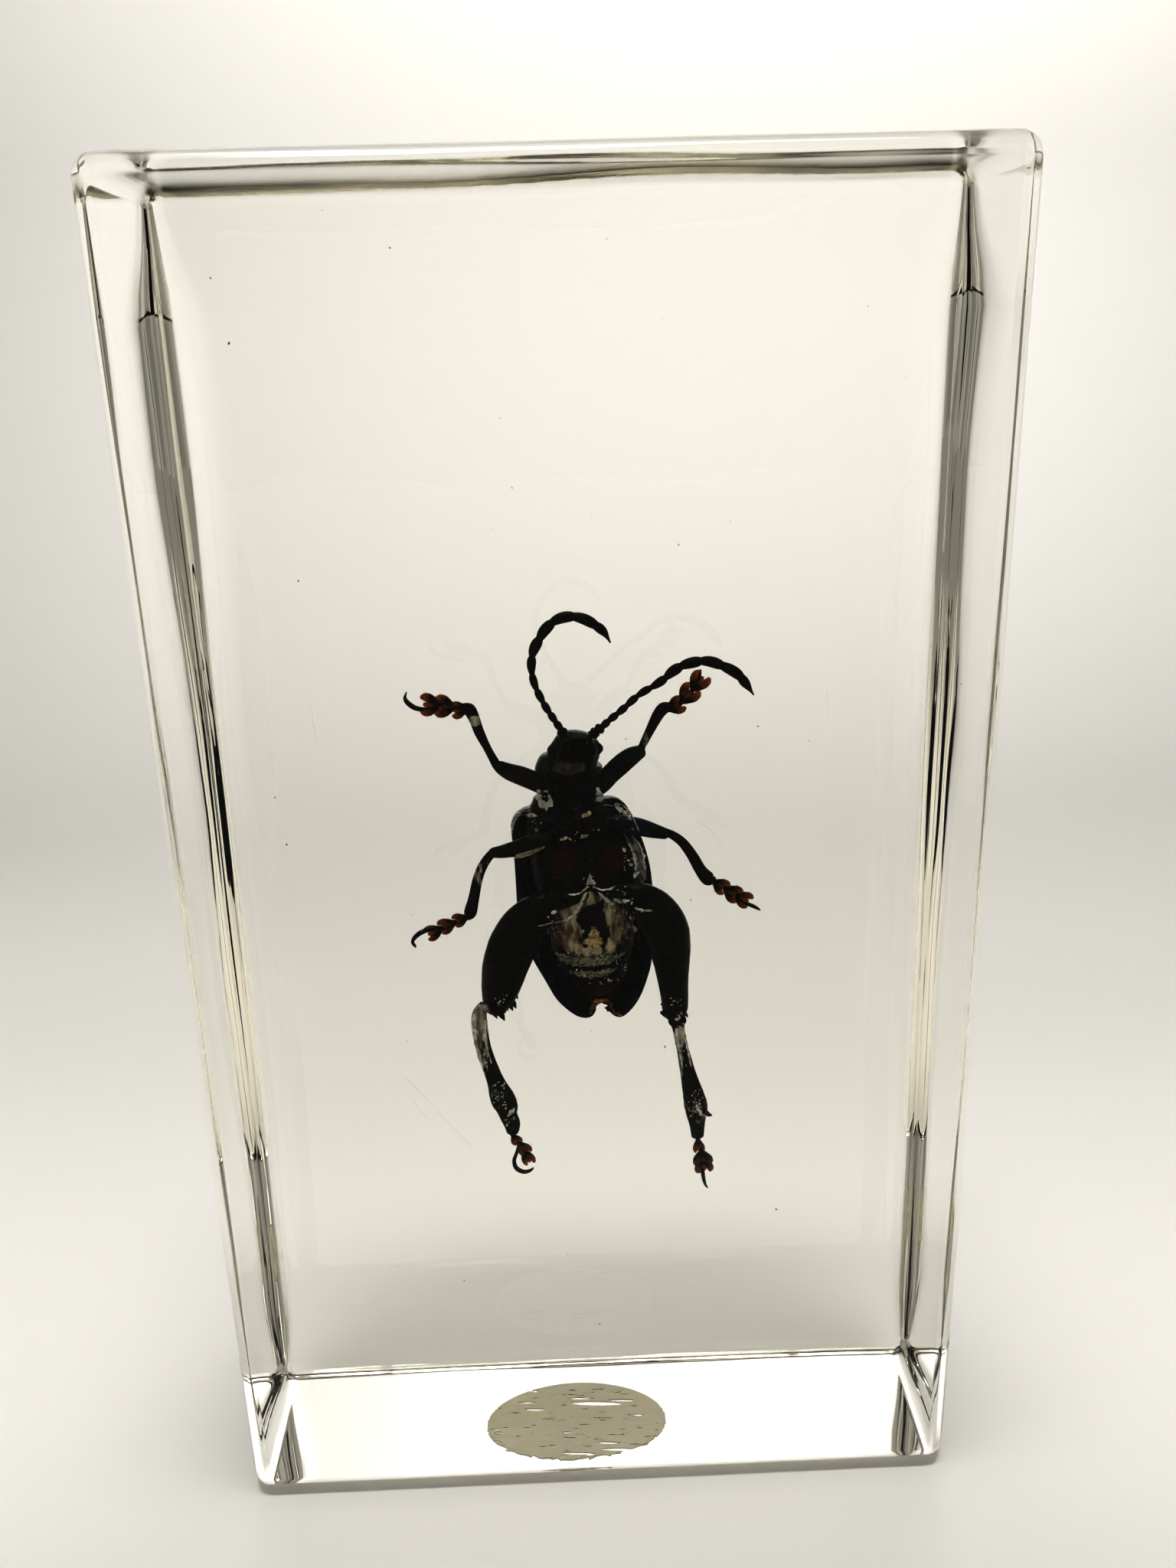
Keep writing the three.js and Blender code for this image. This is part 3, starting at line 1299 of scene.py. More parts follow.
@dataclass(frozen=True)
class Pad:
    """One two-lobed foot pad."""

    x: float
    z: float
    heading: float  # degrees from +X towards +Z
    length: float = 0.85
    width: float = 1.1
    thick: float = 0.42

    def add_to(self, skin: Skin, y: float) -> None:
        """Adds both lobes and the stalk to a skin.

        Args:
            skin: the skin that takes them.
            y: the pad's depth in the row frame.
        """
        turn = math.radians(self.heading)
        ahead = Vector((math.cos(turn), 0, math.sin(turn)))
        across = Vector((-ahead.z, 0, ahead.x))
        centre = SIGHT.place(self.x, self.z, y)
        for side in (-1, 1):
            rows = []
            for forth, out, half in ((-0.52, 0.04, 0.1), (-0.2, 0.2, 0.17), (0.12, 0.33, 0.22),
                                     (0.4, 0.36, 0.2), (0.56, 0.33, 0.12)):
                spot = centre + ahead * (forth * self.length) + across * (side * out * self.width)
                rows.append((*spot, half * self.width, half * self.width * self.thick * 1.6))
            skin.loft(rows, sides=16, samples=12, uneven=0.05)
        root = centre - ahead * (self.length * 0.75)
        tip = centre + ahead * (self.length * 0.35)
        skin.loft([(*root, 0.13, 0.12), (*centre, 0.15, 0.14), (*tip, 0.13, 0.12)], sides=12, samples=8)


@dataclass
class Leg:
    """One leg: thigh, shin, foot pads and claws, each on its own landmarks."""

    name: str
    sheen: Sheen
    thigh: Rows
    thigh_y: tuple[float, float]
    shin: Rows
    shin_y: tuple[float, float]
    pads: tuple[Pad, ...]
    pads_y: float
    claw: Rows
    claw_spread: float = 0.16
    thigh_flat: float = 0.8
    shin_flat: float = 0.75
    shin_spike: Rows = ()
    thigh_teeth: Rows = ()
    # where a painted reflection of trapped air shows on the thigh or shin
    silver: tuple[Blotch, ...] = ()
    rust: tuple[Blotch, ...] = ()

    def build(self, horn: Material, bristles: NodeTree, seed: int) -> list[Object]:
        """Builds the leg's pieces.

        Args:
            horn: the foot pads' finish.
            bristles: the tree that grows hair.
            seed: where this leg's random draws start.

        Returns:
            The pieces, finest hair last.
        """
        shell = BeetleCuticle(self.sheen).material()
        black = BeetleCuticle(Sheen.BLACK).material()
        # the shins' pale streaks are painted reflection of trapped air
        streaked = BeetleCuticle(Sheen.BLACK, film="e0dbca", film_shade="787160", film_grain_mm=0.15,
                                 film_stretch=4.0).material()
        streaked.name = "shin_streaked"
        marks = {"silver": self.silver, "rust": self.rust}
        thigh = Skin().loft(limb(self.thigh, self.thigh_y, self.thigh_flat), sides=32, samples=36,
                            uneven=0.02)
        for x, z, size in self.thigh_teeth:
            base = SIGHT.place(x, z, self.thigh_y[1])
            thigh.loft([(base.x - size * 0.5, base.y, base.z + size * 0.7, size * 0.5, size * 0.4),
                        (*base, size * 0.4, size * 0.35),
                        (base.x + size * 0.3, base.y, base.z - size * 0.7, size * 0.1, size * 0.1)],
                       sides=10, samples=8)
        shin = Skin().loft(limb(self.shin, self.shin_y, self.shin_flat), sides=24, samples=40, rounding=2.3,
                           uneven=0.03)
        if self.shin_spike:
            shin.loft(limb(self.shin_spike, (self.shin_y[1], self.shin_y[1]), 0.6), sides=14, samples=14)
        made = [thigh.make(f"{self.name}_femur", shell, marks),
                shin.make(f"{self.name}_tibia", streaked, marks)]
        feet = Skin()
        for pad in self.pads:
            pad.add_to(feet, self.pads_y)
        made.append(feet.make(f"{self.name}_tarsal_pads", horn))
        claws = Skin()
        for side in (-1, 1):
            rows = limb(self.claw, (self.pads_y, self.pads_y), 1.0)
            last = len(rows) - 1
            spread = [(x, y + side * self.claw_spread * (i / last), z, w, d)
                      for i, (x, y, z, w, d) in enumerate(rows)]
            claws.loft(spread, sides=12, samples=24)
        made.append(claws.make(f"{self.name}_claws", black))
        hair = {"Length": 0.13 * MM, "Thickness": 0.008 * MM, "Seed": seed, "Material": horn}
        made.append(grow(f"{self.name}_pad_hair", made[2], bristles, True,
                         {**hair, "Per Square Metre": 4.5e7, "From Along": -1.0}))
        made.append(grow(f"{self.name}_tibia_hair", made[1], bristles, True,
                         {**hair, "Per Square Metre": 6e6, "From Along": 0.55, "Length": 0.2 * MM,
                          "Material": black}))
        return made


def six_legs() -> list[Leg]:
    """Returns the six legs with their landmarks."""
    return [
        Leg("front_left", Sheen.GREEN,
            ((-1.2, 42.3, 0.42), (-1.8, 42.6, 0.5), (-2.4, 42.95, 0.53), (-3.09, 43.27, 0.53),
             (-3.66, 43.5, 0.47), (-4.15, 43.78, 0.36)), (-0.9, -1.5),
            ((-4.3, 43.85, 0.26), (-4.5, 44.25, 0.23), (-4.8, 44.9, 0.22), (-5.15, 45.72, 0.27),
             (-5.38, 46.47, 0.3), (-5.62, 46.98, 0.34), (-5.95, 47.12, 0.22)), (-1.5, -1.5),
            (Pad(-6.1, 46.98, 185, 0.7, 0.85), Pad(-6.85, 47.18, 172), Pad(-7.6, 47.3, 175)), -1.5,
            ((-7.3, 47.2, 0.1), (-7.85, 47.08, 0.1), (-8.4, 47.15, 0.13), (-8.8, 47.45, 0.12),
             (-8.93, 47.72, 0.08), (-8.84, 48.0, 0.03)),
            silver=(Blotch(-5.35, 46.35, 0.45, 0.35, 0.95),), rust=(Blotch(-3.3, 43.2, 0.6, 0.3, 0.7),)),
        Leg("front_right", Sheen.GREEN,
            ((0.6, 42.2, 0.42), (1.2, 42.6, 0.5), (1.7, 43.15, 0.54), (2.35, 43.75, 0.56), (2.9, 44.15, 0.5),
             (3.3, 44.35, 0.38)), (-0.9, -1.5),
            ((3.3, 44.4, 0.2), (3.6, 45.0, 0.22), (3.95, 45.7, 0.26), (4.3, 46.35, 0.31), (4.6, 46.7, 0.33),
             (4.95, 46.8, 0.2)), (-1.5, -1.6),
            (Pad(5.2, 46.78, 25, 0.75, 0.9), Pad(5.85, 47.35, 48, 0.9, 1.05), Pad(6.4, 48.0, 52, 0.9, 1.0)),
            -1.6,
            ((6.1, 47.7, 0.1), (6.4, 48.1, 0.09), (6.5, 48.45, 0.07), (6.54, 48.68, 0.03)),
            silver=(Blotch(3.62, 45.0, 0.2, 0.6, 0.6),)),
        Leg("middle_left", Sheen.GREEN,
            ((-1.5, 39.7, 0.4), (-2.1, 39.55, 0.46), (-2.8, 39.35, 0.5), (-3.5, 39.15, 0.46),
             (-4.2, 39.0, 0.38), (-4.75, 38.95, 0.3)), (-1.75, -1.9),
            ((-4.75, 39.0, 0.24), (-5.15, 38.55, 0.25), (-5.5, 37.95, 0.27), (-5.75, 37.24, 0.28),
             (-5.98, 36.28, 0.31), (-6.2, 35.5, 0.36), (-6.35, 35.25, 0.25)), (-1.9, -1.5),
            (Pad(-6.75, 35.1, 200, 0.7, 0.75), Pad(-7.5, 34.78, 203, 0.8, 0.85),
             Pad(-8.25, 34.42, 205, 0.85, 0.85)), -1.5,
            ((-7.8, 34.68, 0.09), (-8.4, 34.6, 0.12), (-9.0, 34.4, 0.13), (-9.38, 34.1, 0.11),
             (-9.5, 33.82, 0.08), (-9.34, 33.55, 0.03)),
            silver=(Blotch(-5.6, 37.7, 0.35, 0.9, 0.55), Blotch(-5.2, 38.45, 0.3, 0.3, 0.5))),
        Leg("middle_right", Sheen.BLUE,
            ((1.1, 40.4, 0.42), (1.8, 40.35, 0.5), (2.5, 40.25, 0.54), (3.3, 40.1, 0.5), (4.0, 39.88, 0.42),
             (4.6, 39.7, 0.32)), (-1.6, -1.9),
            ((4.65, 39.78, 0.23), (5.1, 39.55, 0.24), (5.6, 39.1, 0.27), (6.1, 38.35, 0.3),
             (6.55, 37.5, 0.33), (6.95, 37.0, 0.4), (7.2, 36.9, 0.25)), (-1.9, -1.5),
            (Pad(7.6, 36.58, 322, 0.75, 0.85), Pad(8.25, 36.12, 325, 0.85, 0.95),
             Pad(8.85, 35.75, 328, 0.8, 0.9)), -1.5,
            ((8.6, 35.75, 0.09), (9.1, 35.45, 0.1), (9.5, 35.25, 0.09), (9.83, 35.05, 0.03))),
        Leg("hind_left", Sheen.BLACK,
            ((-1.5, 36.0, 0.6), (-2.15, 35.62, 1.0), (-3.1, 34.75, 1.28), (-3.85, 33.6, 1.36),
             (-4.35, 32.4, 1.3), (-4.7, 31.1, 1.14), (-4.98, 30.1, 0.88), (-5.1, 29.7, 0.7)), (-2.2, -2.3),
            ((-5.75, 29.8, 0.3), (-6.02, 29.3, 0.42), (-6.05, 28.4, 0.46), (-5.93, 27.2, 0.44),
             (-5.6, 25.9, 0.46), (-5.3, 24.9, 0.52), (-5.0, 23.9, 0.72), (-4.78, 23.3, 0.68),
             (-4.7, 22.75, 0.54), (-4.5, 22.1, 0.48), (-4.5, 21.6, 0.36)), (-2.2, -1.6),
            (Pad(-4.35, 21.1, 300, 0.6, 0.6), Pad(-3.95, 20.5, 305, 0.8, 0.75, 0.5),
             Pad(-3.72, 19.9, 290, 0.9, 0.72, 0.5)), -1.6,
            ((-4.15, 20.7, 0.1), (-4.35, 20.1, 0.1), (-4.5, 19.6, 0.12), (-4.38, 19.12, 0.13),
             (-3.98, 18.86, 0.11), (-3.6, 18.92, 0.07), (-3.36, 19.1, 0.02)), 0.12,
            thigh_flat=0.78, shin_flat=0.62,
            shin_spike=((-4.6, 23.5, 0.3), (-4.38, 23.3, 0.2), (-4.22, 23.22, 0.08)),
            thigh_teeth=((-3.92, 30.35, 0.3), (-4.08, 29.86, 0.42), (-4.48, 29.6, 0.26), (-4.78, 29.14, 0.44),
                         (-5.12, 29.12, 0.24), (-4.24, 29.66, 0.34), (-3.88, 30.9, 0.16)),
            silver=(Blotch(-6.0, 28.9, 0.85, 1.2, 0.85), Blotch(-6.0, 27.0, 0.5, 2.2, 0.62),
                    Blotch(-5.2, 23.9, 0.75, 0.9, 0.42), Blotch(-4.6, 22.3, 0.5, 0.5, 0.4))),
        Leg("hind_right", Sheen.BLACK,
            ((2.5, 36.35, 0.6), (3.1, 36.0, 0.95), (4.0, 35.2, 1.2), (4.62, 34.0, 1.26), (4.85, 32.7, 1.12),
             (4.96, 31.2, 0.9), (5.05, 29.9, 0.78), (5.07, 29.2, 0.74), (5.07, 28.85, 0.62)), (-2.2, -2.3),
            ((5.14, 28.75, 0.42), (5.2, 28.35, 0.52), (5.24, 28.0, 0.36), (5.4, 27.0, 0.33),
             (5.58, 26.1, 0.37), (5.8, 24.95, 0.45), (6.08, 23.7, 0.6), (6.25, 22.9, 0.68),
             (6.28, 22.3, 0.6), (6.32, 21.6, 0.46), (6.35, 20.9, 0.38)), (-2.2, -1.6),
            (Pad(6.4, 20.2, 275, 0.8, 0.62), Pad(6.62, 19.35, 280, 0.85, 1.05),
             Pad(6.7, 18.8, 278, 0.7, 1.0)), -1.6,
            ((6.6, 18.8, 0.12), (6.66, 18.2, 0.12), (6.74, 17.7, 0.1), (6.85, 17.4, 0.06),
             (6.95, 17.28, 0.02)), 0.1,
            thigh_flat=0.8, shin_flat=0.7,
            shin_spike=((6.5, 22.6, 0.3), (6.85, 22.3, 0.2), (7.16, 22.15, 0.06)),
            thigh_teeth=((4.44, 28.78, 0.24), (5.72, 28.72, 0.22), (4.4, 29.35, 0.16)),
            silver=(Blotch(5.35, 27.4, 0.5, 0.8, 0.85), Blotch(5.3, 26.0, 0.32, 2.4, 0.62),
                    Blotch(6.2, 22.9, 0.8, 0.8, 0.45), Blotch(6.5, 21.9, 0.4, 0.6, 0.5),
                    Blotch(5.1, 28.6, 0.5, 0.5, 0.3))),
    ]


@dataclass(frozen=True)
class Film:
    """A strip of trapped air, as landmarks with its half width at each."""

    path: Rows
    ragged: float = 0.45
    rows: int = 8  # how many rows of points each landmark gets


@dataclass(frozen=True)
class Flecks:
    """A cluster of tiny flecks of air round one landmark, painted as pale glints."""

    x: float
    z: float
    spread_x: float
    spread_z: float
    count: int
    least: float = 0.018  # half width of a fleck
    most: float = 0.05

    def films(self, draw: random.Random) -> list[Film]:
        """Draws the cluster.

        Args:
            draw: where the places and sizes come from.

        Returns:
            One short film for each fleck.
        """
        made = []
        for _ in range(self.count):
            x, z = self.x + draw.uniform(-1, 1) * self.spread_x, self.z + draw.uniform(-1, 1) * self.spread_z
            half, turn = draw.uniform(self.least, self.most), draw.uniform(0, math.pi)
            step_x, step_z = math.cos(turn) * half * 1.4, math.sin(turn) * half * 1.4
            made.append(Film(((x - step_x, z - step_z, half * 0.3), (x, z, half),
                              (x + step_x, z + step_z, half * 0.3)), 0.6, 2))
        return made


@dataclass
class AirFilms:
    """Silver and cream films of air that cling to the beetle where resin did not wet it, their reflection
    painted as colour.
    """

    stand_off: float = 0.03
    thickness: float = 0.02
    deepest_dip: float = 0.35  # a film bridges a gap in the beetle that is deeper than this
    silver: tuple[Film, ...] = (
        Film(((-3.66, 40.0, 0.02), (-3.7, 40.5, 0.03), (-3.52, 40.95, 0.03), (-3.15, 41.2, 0.03),
              (-2.6, 41.3, 0.02)), 0.2),
        Film(((2.0, 41.55, 0.02), (2.45, 41.3, 0.04), (2.8, 40.85, 0.04), (3.0, 40.4, 0.03),
              (3.2, 39.9, 0.03)), 0.2),
        Film(((-2.95, 41.05, 0.05), (-2.6, 41.0, 0.14), (-2.3, 40.98, 0.05))),
        Film(((-3.62, 40.2, 0.03), (-3.6, 40.55, 0.06), (-3.4, 40.9, 0.05), (-3.1, 41.12, 0.03))),
        Film(((1.95, 41.3, 0.05), (2.25, 41.1, 0.12), (2.6, 40.85, 0.14), (2.78, 40.55, 0.05))),
        Film(((2.62, 39.2, 0.03), (2.85, 38.7, 0.07), (2.98, 38.1, 0.08), (3.0, 37.6, 0.04)), 0.6),
        Film(((-6.3, 29.3, 0.08), (-6.38, 28.6, 0.12), (-6.34, 27.6, 0.1), (-6.2, 26.6, 0.08),
              (-6.0, 25.8, 0.04)), 0.3),
        Film(((-5.72, 28.9, 0.05), (-5.78, 28.0, 0.09), (-5.7, 27.0, 0.06), (-5.5, 26.1, 0.03)), 0.4),
        Film(((5.14, 27.9, 0.08), (5.18, 27.2, 0.08), (5.32, 26.3, 0.05), (5.48, 25.3, 0.03)), 0.3),
        Film(((5.62, 27.5, 0.05), (5.78, 26.5, 0.06), (5.98, 25.4, 0.04)), 0.3),
        Film(((6.28, 22.9, 0.05), (6.42, 22.5, 0.12), (6.62, 22.2, 0.08), (6.85, 22.12, 0.04)), 0.6),
        Film(((-4.75, 22.6, 0.03), (-4.5, 22.9, 0.1), (-4.32, 23.15, 0.06)), 0.6),
        Film(((-0.75, 36.35, 0.03), (-0.4, 36.33, 0.05), (-0.1, 36.42, 0.04), (0.15, 36.6, 0.05),
              (0.36, 36.8, 0.06))),
        Film(((0.6, 36.76, 0.05), (0.9, 36.62, 0.05), (1.25, 36.53, 0.05), (1.6, 36.6, 0.05),
              (1.86, 36.76, 0.03))),
        Film(((0.26, 36.45, 0.05), (-0.02, 35.9, 0.09), (-0.25, 35.47, 0.09), (-0.5, 35.12, 0.08),
              (-0.84, 34.88, 0.06), (-1.3, 34.74, 0.04), (-1.8, 34.66, 0.03), (-2.5, 34.52, 0.02))),
        Film(((0.9, 36.42, 0.04), (1.3, 35.98, 0.09), (1.7, 35.62, 0.07))),
        Film(((1.75, 35.98, 0.05), (2.2, 35.82, 0.13), (2.62, 35.86, 0.06))),
        Film(((2.95, 35.4, 0.1), (3.3, 35.27, 0.05), (3.85, 35.2, 0.05))),
        Film(((-1.72, 35.22, 0.05), (-1.58, 35.3, 0.12), (-1.44, 35.4, 0.05))),
        Film(((2.28, 38.95, 0.03), (2.38, 38.85, 0.1), (2.42, 38.7, 0.04))),
        Film(((2.6, 38.02, 0.03), (2.7, 37.96, 0.09), (2.82, 37.9, 0.03))),
        Film(((-2.45, 40.22, 0.03), (-2.35, 40.17, 0.1), (-2.24, 40.12, 0.03))),
        Film(((5.06, 28.52, 0.03), (5.2, 28.46, 0.09), (5.33, 28.58, 0.06), (5.3, 28.72, 0.03)), 0.2),
        Film(((2.78, 34.35, 0.04), (2.92, 34.15, 0.11), (2.9, 33.95, 0.05))),
    )
    white: tuple[Film, ...] = (
        Film(((-2.2, 42.45, 0.08), (-2.12, 42.0, 0.16), (-2.0, 41.6, 0.24), (-1.68, 41.4, 0.2))),
        Film(((-1.62, 42.15, 0.06), (-1.57, 41.8, 0.12), (-1.52, 41.45, 0.1))),
        Film(((0.98, 42.45, 0.06), (1.1, 42.05, 0.16), (1.05, 41.65, 0.15))),
        Film(((2.8, 39.6, 0.06), (3.02, 39.1, 0.2), (3.16, 38.5, 0.3), (3.24, 37.8, 0.3),
              (3.36, 37.0, 0.16)), 0.2),
        Film(((2.85, 37.4, 0.1), (3.12, 37.2, 0.28), (3.4, 36.95, 0.2)), 0.7),
        Film(((0.48, 37.52, 0.02), (0.46, 37.2, 0.13), (0.46, 36.88, 0.3))),
    )
    cream: tuple[Film, ...] = (
        Film(((0.12, 40.82, 0.05), (0.36, 40.93, 0.16), (0.62, 41.06, 0.08))),
        Film(((-3.6, 38.66, 0.1), (-3.1, 38.76, 0.13), (-2.5, 38.95, 0.11), (-1.95, 39.18, 0.05)), 0.2),
        Film(((0.0, 39.6, 0.03), (0.22, 39.7, 0.08), (0.5, 39.78, 0.03))),
        Film(((-1.1, 39.5, 0.04), (-0.95, 39.58, 0.1), (-0.7, 39.7, 0.04))),
    )
    olive: tuple[Film, ...] = (
        Film(((-1.62, 32.85, 0.04), (-1.1, 32.52, 0.22), (-0.4, 32.3, 0.3), (0.45, 32.22, 0.28),
              (1.2, 32.32, 0.26), (1.95, 32.55, 0.12), (2.3, 32.75, 0.04)), 0.35),
        Film(((-0.85, 31.72, 0.05), (-0.2, 31.52, 0.17), (0.5, 31.46, 0.2), (1.2, 31.56, 0.18),
              (1.85, 31.82, 0.06)), 0.45),
    )
    gold: tuple[Film, ...] = (
        Film(((0.5, 34.35, 0.06), (0.6, 33.95, 0.26), (0.58, 33.5, 0.38), (0.6, 33.15, 0.36),
              (0.64, 32.9, 0.12)), 0.5),
    )
    brown: tuple[Film, ...] = (
        Film(((0.3, 29.02, 0.08), (0.4, 29.5, 0.1), (0.68, 29.8, 0.12), (1.16, 29.8, 0.12), (1.46, 29.5, 0.1),
              (1.62, 29.05, 0.08), (2.05, 28.78, 0.05)), 0.9),
    )
    # clusters of tiny films, each a painted glint
    flecks: tuple[Flecks, ...] = (
        Flecks(0.1, 39.75, 1.0, 0.3, 12), Flecks(2.75, 38.3, 0.4, 1.0, 20), Flecks(2.5, 35.5, 0.8, 0.5, 16),
        Flecks(2.3, 34.3, 0.6, 0.8, 16), Flecks(0.4, 32.72, 1.7, 0.1, 18), Flecks(0.6, 31.2, 1.2, 0.35, 10),
        Flecks(-5.2, 24.0, 0.4, 0.9, 26), Flecks(-4.6, 22.5, 0.3, 0.5, 10), Flecks(6.2, 23.0, 0.45, 0.9, 28),
        Flecks(5.1, 29.3, 0.4, 0.6, 10), Flecks(-4.7, 30.0, 0.5, 0.4, 10), Flecks(-2.6, 40.9, 0.9, 0.4, 10),
        Flecks(2.3, 41.0, 0.6, 0.5, 10), Flecks(0.7, 45.1, 0.25, 0.15, 3), Flecks(-1.9, 41.9, 0.3, 0.6, 10),
        Flecks(0.45, 37.1, 0.35, 0.4, 14), Flecks(-5.9, 27.5, 0.3, 1.6, 12), Flecks(5.5, 26.8, 0.25, 1.4, 10),
        Flecks(2.15, 32.0, 0.35, 0.5, 12), Flecks(0.9, 32.35, 0.3, 0.1, 6), Flecks(-0.4, 31.6, 0.5, 0.3, 9),
        Flecks(1.5, 31.2, 0.4, 0.3, 7), Flecks(1.9, 36.4, 0.5, 0.3, 9), Flecks(-1.5, 34.6, 0.6, 0.5, 8),
    )
    seed: int = 71

    def build(self, beetle: Sequence[Object]) -> list[Object]:
        """Drapes every film on the beetle's surface.

        Args:
            beetle: the pieces that films may lie on.

        Returns:
            One piece for each colour of film.
        """
        tree = merged_surface(beetle)
        draw = random.Random(self.seed)
        painted_glints = [film for cluster in self.flecks for film in cluster.films(draw)]
        # each group's colours are the painted reflection of its films
        groups = (
            ([*self.silver, *painted_glints], AirFilm()),
            (self.white, AirFilm("air_film_white", "ffffff", "b4b0a2", 0.7, 0.45)),
            (self.cream, AirFilm("air_film_cream", "e6e0b8", "8a8460")),
            (self.olive, AirFilm("air_film_olive", "989a78", "1c1e15", 0.16)),
            (self.gold, AirFilm("air_film_gold", "dcc888", "6b5026", 0.14)),
            (self.brown, AirFilm("air_film_brown", "c48a4c", "4a2410", 0.2)),
        )
        made = []
        for films, finish in groups:
            skin = Skin()
            for film in films:
                skin.sheet(self._drape(film, tree), self.thickness)
            made.append(skin.make(finish.name, finish.material()))
        return made

    def _drape(self, film: Film, tree: BVHTree) -> list[list[Vector]]:
        """Lays a film's grid on what the camera would see there.

        Args:
            film: the strip.
            tree: the beetle's surface.

        Returns:
            Rows of points across the strip.
        """
        line = smooth_path(film.path, film.rows * len(film.path))
        rows: list[list[Vector]] = []
        for i, (x, z, half) in enumerate(line):
            before, after = line[max(i - 1, 0)], line[min(i + 1, len(line) - 1)]
            side = Vector((before[1] - after[1], after[0] - before[0]))
            side.normalize()
            level = self._level(tree, x, z, LANDMARK_DEPTH)
            row = []
            for j in range(7):
                share = j / 3 - 1
                wander = 1 + film.ragged * 2 * noise.noise(Vector((x * 4.1, z * 4.1, 3.0 * (j > 3))))
                reach = half * wander * share
                spot_x, spot_z = x + side.x * reach, z + side.y * reach
                depth = self._level(tree, spot_x, spot_z, level)
                depth = level + min(max(depth - level, -self.deepest_dip), self.deepest_dip)
                row.append(SIGHT.place(spot_x, spot_z, depth - self.stand_off))
            rows.append(row)
        return rows

    def _level(self, tree: BVHTree, x: float, z: float, otherwise: float) -> float:
        """Finds how deep the beetle's surface is on one sight line.

        Args:
            tree: the beetle's surface.
            x: landmark X.
            z: landmark height.
            otherwise: the depth to return where the line misses the beetle.

        Returns:
            Row Y of the surface.
        """
        start = SIGHT.place(x, z, -7.0) * MM
        ahead = (SIGHT.place(x, z, 4.0) * MM - start).normalized()
        hit = tree.ray_cast(start, ahead)[0]
        return otherwise if hit is None else hit.y / MM


def merged_surface(pieces: Sequence[Object]) -> BVHTree:
    """Gathers pieces into one searchable surface.

    Args:
        pieces: mesh objects at the origin.

    Returns:
        The search tree, in metres.
    """
    points: list[Vector] = []
    faces: list[list[int]] = []
    for piece in pieces:
        base = len(points)
        points.extend(vertex.co.copy() for vertex in piece.data.vertices)
        faces.extend([base + i for i in polygon.vertices] for polygon in piece.data.polygons)
    return BVHTree.FromPolygons(points, faces)


@dataclass
class SealedBeetle:
    """The whole beetle, belly towards the broad front face of the block."""

    def build(self) -> None:
        """Builds every part, drapes the films of air and puts all on the body."""
        horn = TarsalPad().material()
        bristles = bristle_tree()
        body = Elytra().build() + Thorax().build() + Abdomen().build() + Head().build()
        feet: list[Object] = []
        for number, leg in enumerate(six_legs()):
            shell, shin, pads, claws, pad_hair, shin_hair = leg.build(horn, bristles, 10 + number)
            body += [shell, shin, claws]
            feet += [pads, pad_hair]
            settle(shin_hair, "cuticle")
        films = AirFilms().build(body)
        for slot, pieces in (("cuticle", body), ("tarsal_pads", feet), ("air_film", films)):
            for piece in pieces:
                settle(piece, slot)


# ---------------------------------------------------------------- the resin block


